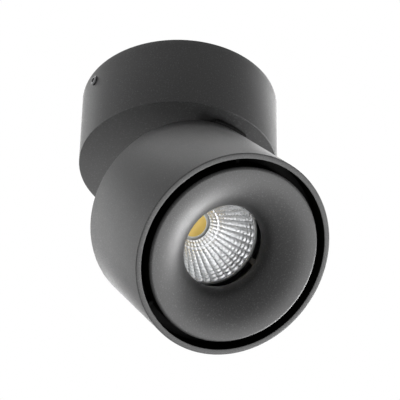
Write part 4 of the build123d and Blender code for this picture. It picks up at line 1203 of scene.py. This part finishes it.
class SPOTLIGHT_OT_baffle(bpy.types.Operator):
    """Trumpet-shaped baffle with its rounded lip, its skirt and three hooked legs"""

    bl_idname = "spotlight.baffle"
    bl_label = "Baffle"

    def execute(self, context):
        sizes, mirror = context.scene.spot_baffle, context.scene.spot_reflector
        centre = (sizes.flare_radius, sizes.throat_depth)
        reach = (sizes.flare_radius - sizes.throat_radius, sizes.throat_depth + sizes.proud)
        behind = (reach[0] - sizes.wall, reach[1] - sizes.wall)
        lip = (sizes.lip_radius - sizes.lip_round, sizes.lip_round - sizes.proud)
        flare = turn("baffle", [
            *arc(centre, reach, 180, 270, 36),
            *arc(lip, (sizes.lip_round, sizes.lip_round), -90, 0, 8),
            (sizes.lip_radius, sizes.skirt_depth), (sizes.flare_radius, sizes.skirt_depth),
            *arc(centre, behind, 270, 180, 24),
        ])
        round_rings(flare, [(sizes.throat_radius, sizes.throat_depth)], 0.25 * MM, 3)

        # The skirt's outside, in the shadow gap, which gets the painted shade
        def on_shaded_skirt(at):
            return hypot(at.x, at.y) > sizes.lip_radius - 5 * CLEAR and at.z > sizes.lip_round

        paint_faces(flare, "charcoal_powder_coat", "channel_painted_shade", on_shaded_skirt)
        hook = mirror.flange_depth + 1.2 * MM
        end, half, inner = hook + sizes.hook_height, sizes.leg_width / 2, sizes.leg_inner
        leg = block("leg", (inner, -half, sizes.leg_start), (inner + sizes.leg_thickness, half, end))
        fuse(leg, block("hook", (inner - 0.5 * MM, -half, hook), (inner + 0.6 * MM, half, end)))
        bevel_sharp(leg, 0.12 * MM)
        # The legs' darker black is partly painted shade
        paint_faces(leg, "charcoal_powder_coat", "leg_black_and_shade", lambda at: True)
        gather(flare, *spread(leg, sizes.leg_phase))
        finish_piece(flare, "head", "baffle", "charcoal_powder_coat")
        return {"FINISHED"}


class SPOTLIGHT_OT_reflector(bpy.types.Operator):
    """Fluted reflector with its kink near the light source and its flat rim"""

    bl_idname = "spotlight.reflector"
    bl_label = "Reflector"

    def execute(self, context):
        sizes, facets, wall = context.scene.spot_reflector, 8, context.scene.spot_reflector.wall
        mouth, kink, end = sizes.mouth_radius, sizes.kink_radius, sizes.end_radius
        cone = open_ring("reflector", mouth, sizes.mouth_depth, sizes.flutes * facets)
        self.scallop(cone, sizes, facets)
        corners = [
            (mouth, sizes.mouth_depth),
            (kink + 0.30 * MM, sizes.kink_depth - 0.40 * MM),
            (kink - 0.18 * MM, sizes.kink_depth - 0.28 * MM),
            (end, sizes.end_depth),
            (end + wall, sizes.end_depth),
            (kink + wall, sizes.kink_depth),
            (mouth + wall, sizes.mouth_depth),
        ]
        stations = corners[:1]
        for (radius, level), (next_radius, next_level) in zip(corners, corners[1:] + corners[:1]):
            divide = max(1, round(abs(next_level - level) / (2 * MM)))
            for share in ((part + 1) / divide for part in range(divide)):
                stations.append((radius + (next_radius - radius) * share, level + (next_level - level) * share))
        draw_out(stations)
        place(cone, turned(sizes.flute_phase - pi / sizes.flutes))
        rim, flange, low = sizes.rim_radius, sizes.flange_radius, sizes.flange_depth
        flat = turn("rim", [(rim, low), (flange, low), (flange, low + MM), (rim + 0.3 * MM, low + MM)])
        gather(cone, bevel_sharp(flat, 0.12 * MM))
        finish_piece(cone, "head", "reflector", "reflector_silver")
        return {"FINISHED"}

    def scallop(self, cone, sizes, facets):
        """Pushes the points between two ridges outwards, so that each flute is a shallow arc."""
        half = pi / sizes.flutes
        chord, flat = 2 * sizes.mouth_radius * sin(half), sizes.mouth_radius * cos(half)
        sag = sizes.flute_sag * chord
        bend = (chord * chord / 4 + sag * sag) / (2 * sag)
        middle = flat + sag - bend            # of the flute's arc, inside the ring
        for step in range(1, facets):
            angle = half * (2 * step / facets - 1)
            ray = middle * cos(angle) + sqrt(bend * bend - (middle * sin(angle)) ** 2)
            pick(cone, "VERT", lambda vertex: round(
                atan2(vertex.co.y, vertex.co.x) * sizes.flutes * facets / (2 * pi)
            ) % facets == step)
            widen(ray / sizes.mouth_radius)


class SPOTLIGHT_OT_light_source(bpy.types.Operator):
    """Light source: the phosphor field with its dam, the board and the holder"""

    bl_idname = "spotlight.light_source"
    bl_label = "Light source"

    def execute(self, context):
        sizes = context.scene.spot_source
        face, half_dam = sizes.emitter_depth, sizes.dam_width / 2
        edge = sizes.emitter_radius - sizes.dam_width
        field = turn("led_emitter", [
            (0.4 * MM, face + 0.06 * MM), (edge, face + 0.09 * MM),
            *arc((edge + half_dam, face + 0.1 * MM), (half_dam, 0.1 * MM), 180, 360, 8),
            (sizes.emitter_radius, sizes.board_depth - CLEAR),
        ], MIDDLE_SIDES, solid=True)
        finish_piece(field, "head", "led_emitter", "phosphor_yellow")
        half, near = sizes.board_side / 2, sizes.board_depth
        board = block("led_board", (-half, -half, near), (half, half, near + sizes.board_thickness))
        bevel_sharp(board, 0.1 * MM)
        finish_piece(board, "head", "led_board", "board_white")
        front, back = sizes.holder_depth, sizes.holder_depth + sizes.holder_thickness
        holder = hoop("led_holder", sizes.holder_aperture, sizes.holder_radius, front, back, 2 * SMALL_SIDES)
        play = half + 0.15 * MM
        cut(holder, block("board_room", (-play, -play, near), (play, play, back + MM)))
        for spot in (-sizes.screw_circle, sizes.screw_circle):
            bore(holder, sizes.screw_hole, 0, THROUGH, HOLE_SIDES, shift(spot))
        bevel_sharp(holder, 0.15 * MM)
        finish_piece(holder, "head", "led_holder", "holder_white")
        return {"FINISHED"}


class SPOTLIGHT_OT_inner_parts(bpy.types.Operator):
    """Finishes of the parts that stay as the CAD made them, inside the canopy and the head"""

    bl_idname = "spotlight.inner_parts"
    bl_label = "Inner parts"

    def execute(self, context):
        for slot, names in {
            "zinc_plated_steel": (
                "driver_standoffs", "driver_screws", "terminal_fixing_screws", "swivel_stop_pin", "stop_washer",
                "wave_washer", "swivel_nut", "heat_sink_screws", "led_holder_screws",
            ),
            "white_plastic": ("driver_base", "driver_lid", "terminal_block"),
            "brass": ("terminal_clamp_screws", "earth_screw"),
            "nylon": ("slip_washer_lower", "slip_washer_upper"),
            "circuit_resist": ("driver_board",),
            "cast_aluminium": ("heat_sink",),
            "thermal_pad": ("thermal_pad",),
        }.items():
            for name in names:
                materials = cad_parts[name].data.materials
                materials.clear()
                materials.append(finish(slot))
        return {"FINISHED"}


class SPOTLIGHT_OT_stage(bpy.types.Operator):
    """Pale floor, white surroundings, soft lights and the camera"""

    bl_idname = "spotlight.stage"
    bl_label = "Stage"

    def execute(self, context):
        look = context.scene.spot_stage
        context.scene.view_settings.view_transform = "Standard"
        self.camera(context, look)
        self.floor(look)
        self.surroundings(context, look)
        for name, spot, width, power in (
            ("Key light", (-0.04, 1.09, -0.44), 0.6, 28),
            ("Front light", (0.49, 0.58, -0.93), 0.6, 6.6),
            ("Left light", (-0.38, -1.07, -0.10), 0.8, 7),
            ("Top light", (-0.18, -0.09, 1.06), 0.8, 3.8),
            ("Low rim", (-1.08, 0.23, -0.35), 0.8, 4),
            ("Left rim", (-0.93, -0.43, 0.42), 0.8, 2.6),
            ("Back rim", (-0.85, 0.42, 0.56), 0.8, 5),
            ("Right rim", (-0.26, 0.70, 0.84), 0.8, 4.5),
        ):
            lamp = bpy.data.lights.new(name, "AREA")
            lamp.shape, lamp.size, lamp.energy = "DISK", width, power
            towards = (look.aim - Vector(spot)).to_track_quat("-Z", "Y")
            self.hang(context, lamp, spot, towards.to_euler())
        return {"FINISHED"}

    def hang(self, context, data, spot, lean):
        """Puts a camera or a lamp at its place."""
        item = bpy.data.objects.new(data.name, data)
        context.scene.collection.objects.link(item)
        item.location, item.rotation_euler = spot, lean
        return item

    def camera(self, context, look):
        lens = bpy.data.cameras.new("Camera")
        lens.lens, lens.sensor_width = look.lens, 36
        lens.clip_start, lens.clip_end = 0.05, 20
        aim = Euler((radians(90) + look.camera_rise, 0, look.camera_turn)).to_matrix()
        aim = aim @ Matrix.Rotation(look.camera_roll, 3, "Z")
        context.scene.camera = self.hang(context, lens, look.camera_place, aim.to_euler())

    def floor(self, look):
        clear_selection()
        bpy.ops.mesh.primitive_plane_add(size=9, location=(0, 0, look.floor_level))
        ground = added("floor")
        material, tree, shader = new_material("Pale floor")
        patch = span(tree, noise(tree, own_place(tree), scale=3), 0.3, 0.7, 0.0, 0.05)
        glow = sums(tree, "MULTIPLY", self.seen_rays(tree), look.floor_glow)
        tone = blend_colours(tree, patch, colour("floor"), colour("floor_patch"))
        feed(tree, shader, Base_Color=tone, Roughness=0.8, Emission_Color=(1, 1, 1, 1), Emission_Strength=glow)
        ground.data.materials.append(material)

    def surroundings(self, context, look):
        world = context.scene.world = bpy.data.worlds.new("Surroundings")
        world.use_nodes = True
        tree = world.node_tree
        level = sums(tree, "MAXIMUM", self.seen_rays(tree), look.world_level)
        feed(tree, tree.nodes["Background"], Color=(1, 1, 1, 1), Strength=level)

    def seen_rays(self, tree):
        """1 where the camera, gloss or glass looks, 0 for the light on the object."""
        seen = node(tree, "LightPath").outputs
        shown = sums(tree, "MAXIMUM", seen["Is Camera Ray"], seen["Is Glossy Ray"])
        return sums(tree, "MAXIMUM", shown, seen["Is Transmission Ray"])


PIECES = (
    SPOTLIGHT_OT_stage,
    SPOTLIGHT_OT_canopy,
    SPOTLIGHT_OT_set_screws,
    SPOTLIGHT_OT_ceiling_plate,
    SPOTLIGHT_OT_hinge_bracket,
    SPOTLIGHT_OT_hinge_pin,
    SPOTLIGHT_OT_housing,
    SPOTLIGHT_OT_rear_cover,
    SPOTLIGHT_OT_spacer_ring,
    SPOTLIGHT_OT_baffle,
    SPOTLIGHT_OT_reflector,
    SPOTLIGHT_OT_light_source,
    SPOTLIGHT_OT_inner_parts,
)


class SPOTLIGHT_PT_pieces(bpy.types.Panel):
    """The spotlight's pieces, sizes and colours"""

    bl_label = "Ceiling spotlight"
    bl_idname = "SPOTLIGHT_PT_pieces"
    bl_space_type = "VIEW_3D"
    bl_region_type = "UI"
    bl_category = "Spotlight"

    def draw(self, context):
        for piece in PIECES:
            self.layout.operator(piece.bl_idname)
        for key, group in GROUPS.items():
            box = self.layout.box()
            box.label(text=group.__name__)
            for prop in group.__annotations__:
                box.prop(getattr(context.scene, key), prop)


def register():
    for item in (*GROUPS.values(), *PIECES, SPOTLIGHT_PT_pieces):
        bpy.utils.register_class(item)
    for key, group in GROUPS.items():
        setattr(bpy.types.Scene, key, PointerProperty(type=group))


def unregister():
    for key in GROUPS:
        delattr(bpy.types.Scene, key)
    for item in reversed((*GROUPS.values(), *PIECES, SPOTLIGHT_PT_pieces)):
        bpy.utils.unregister_class(item)


def main():
    register()
    for piece in PIECES:
        family, name = piece.bl_idname.split(".")
        getattr(getattr(bpy.ops, family), name)()
    clear_selection()


if __name__ == "__main__":
    main()
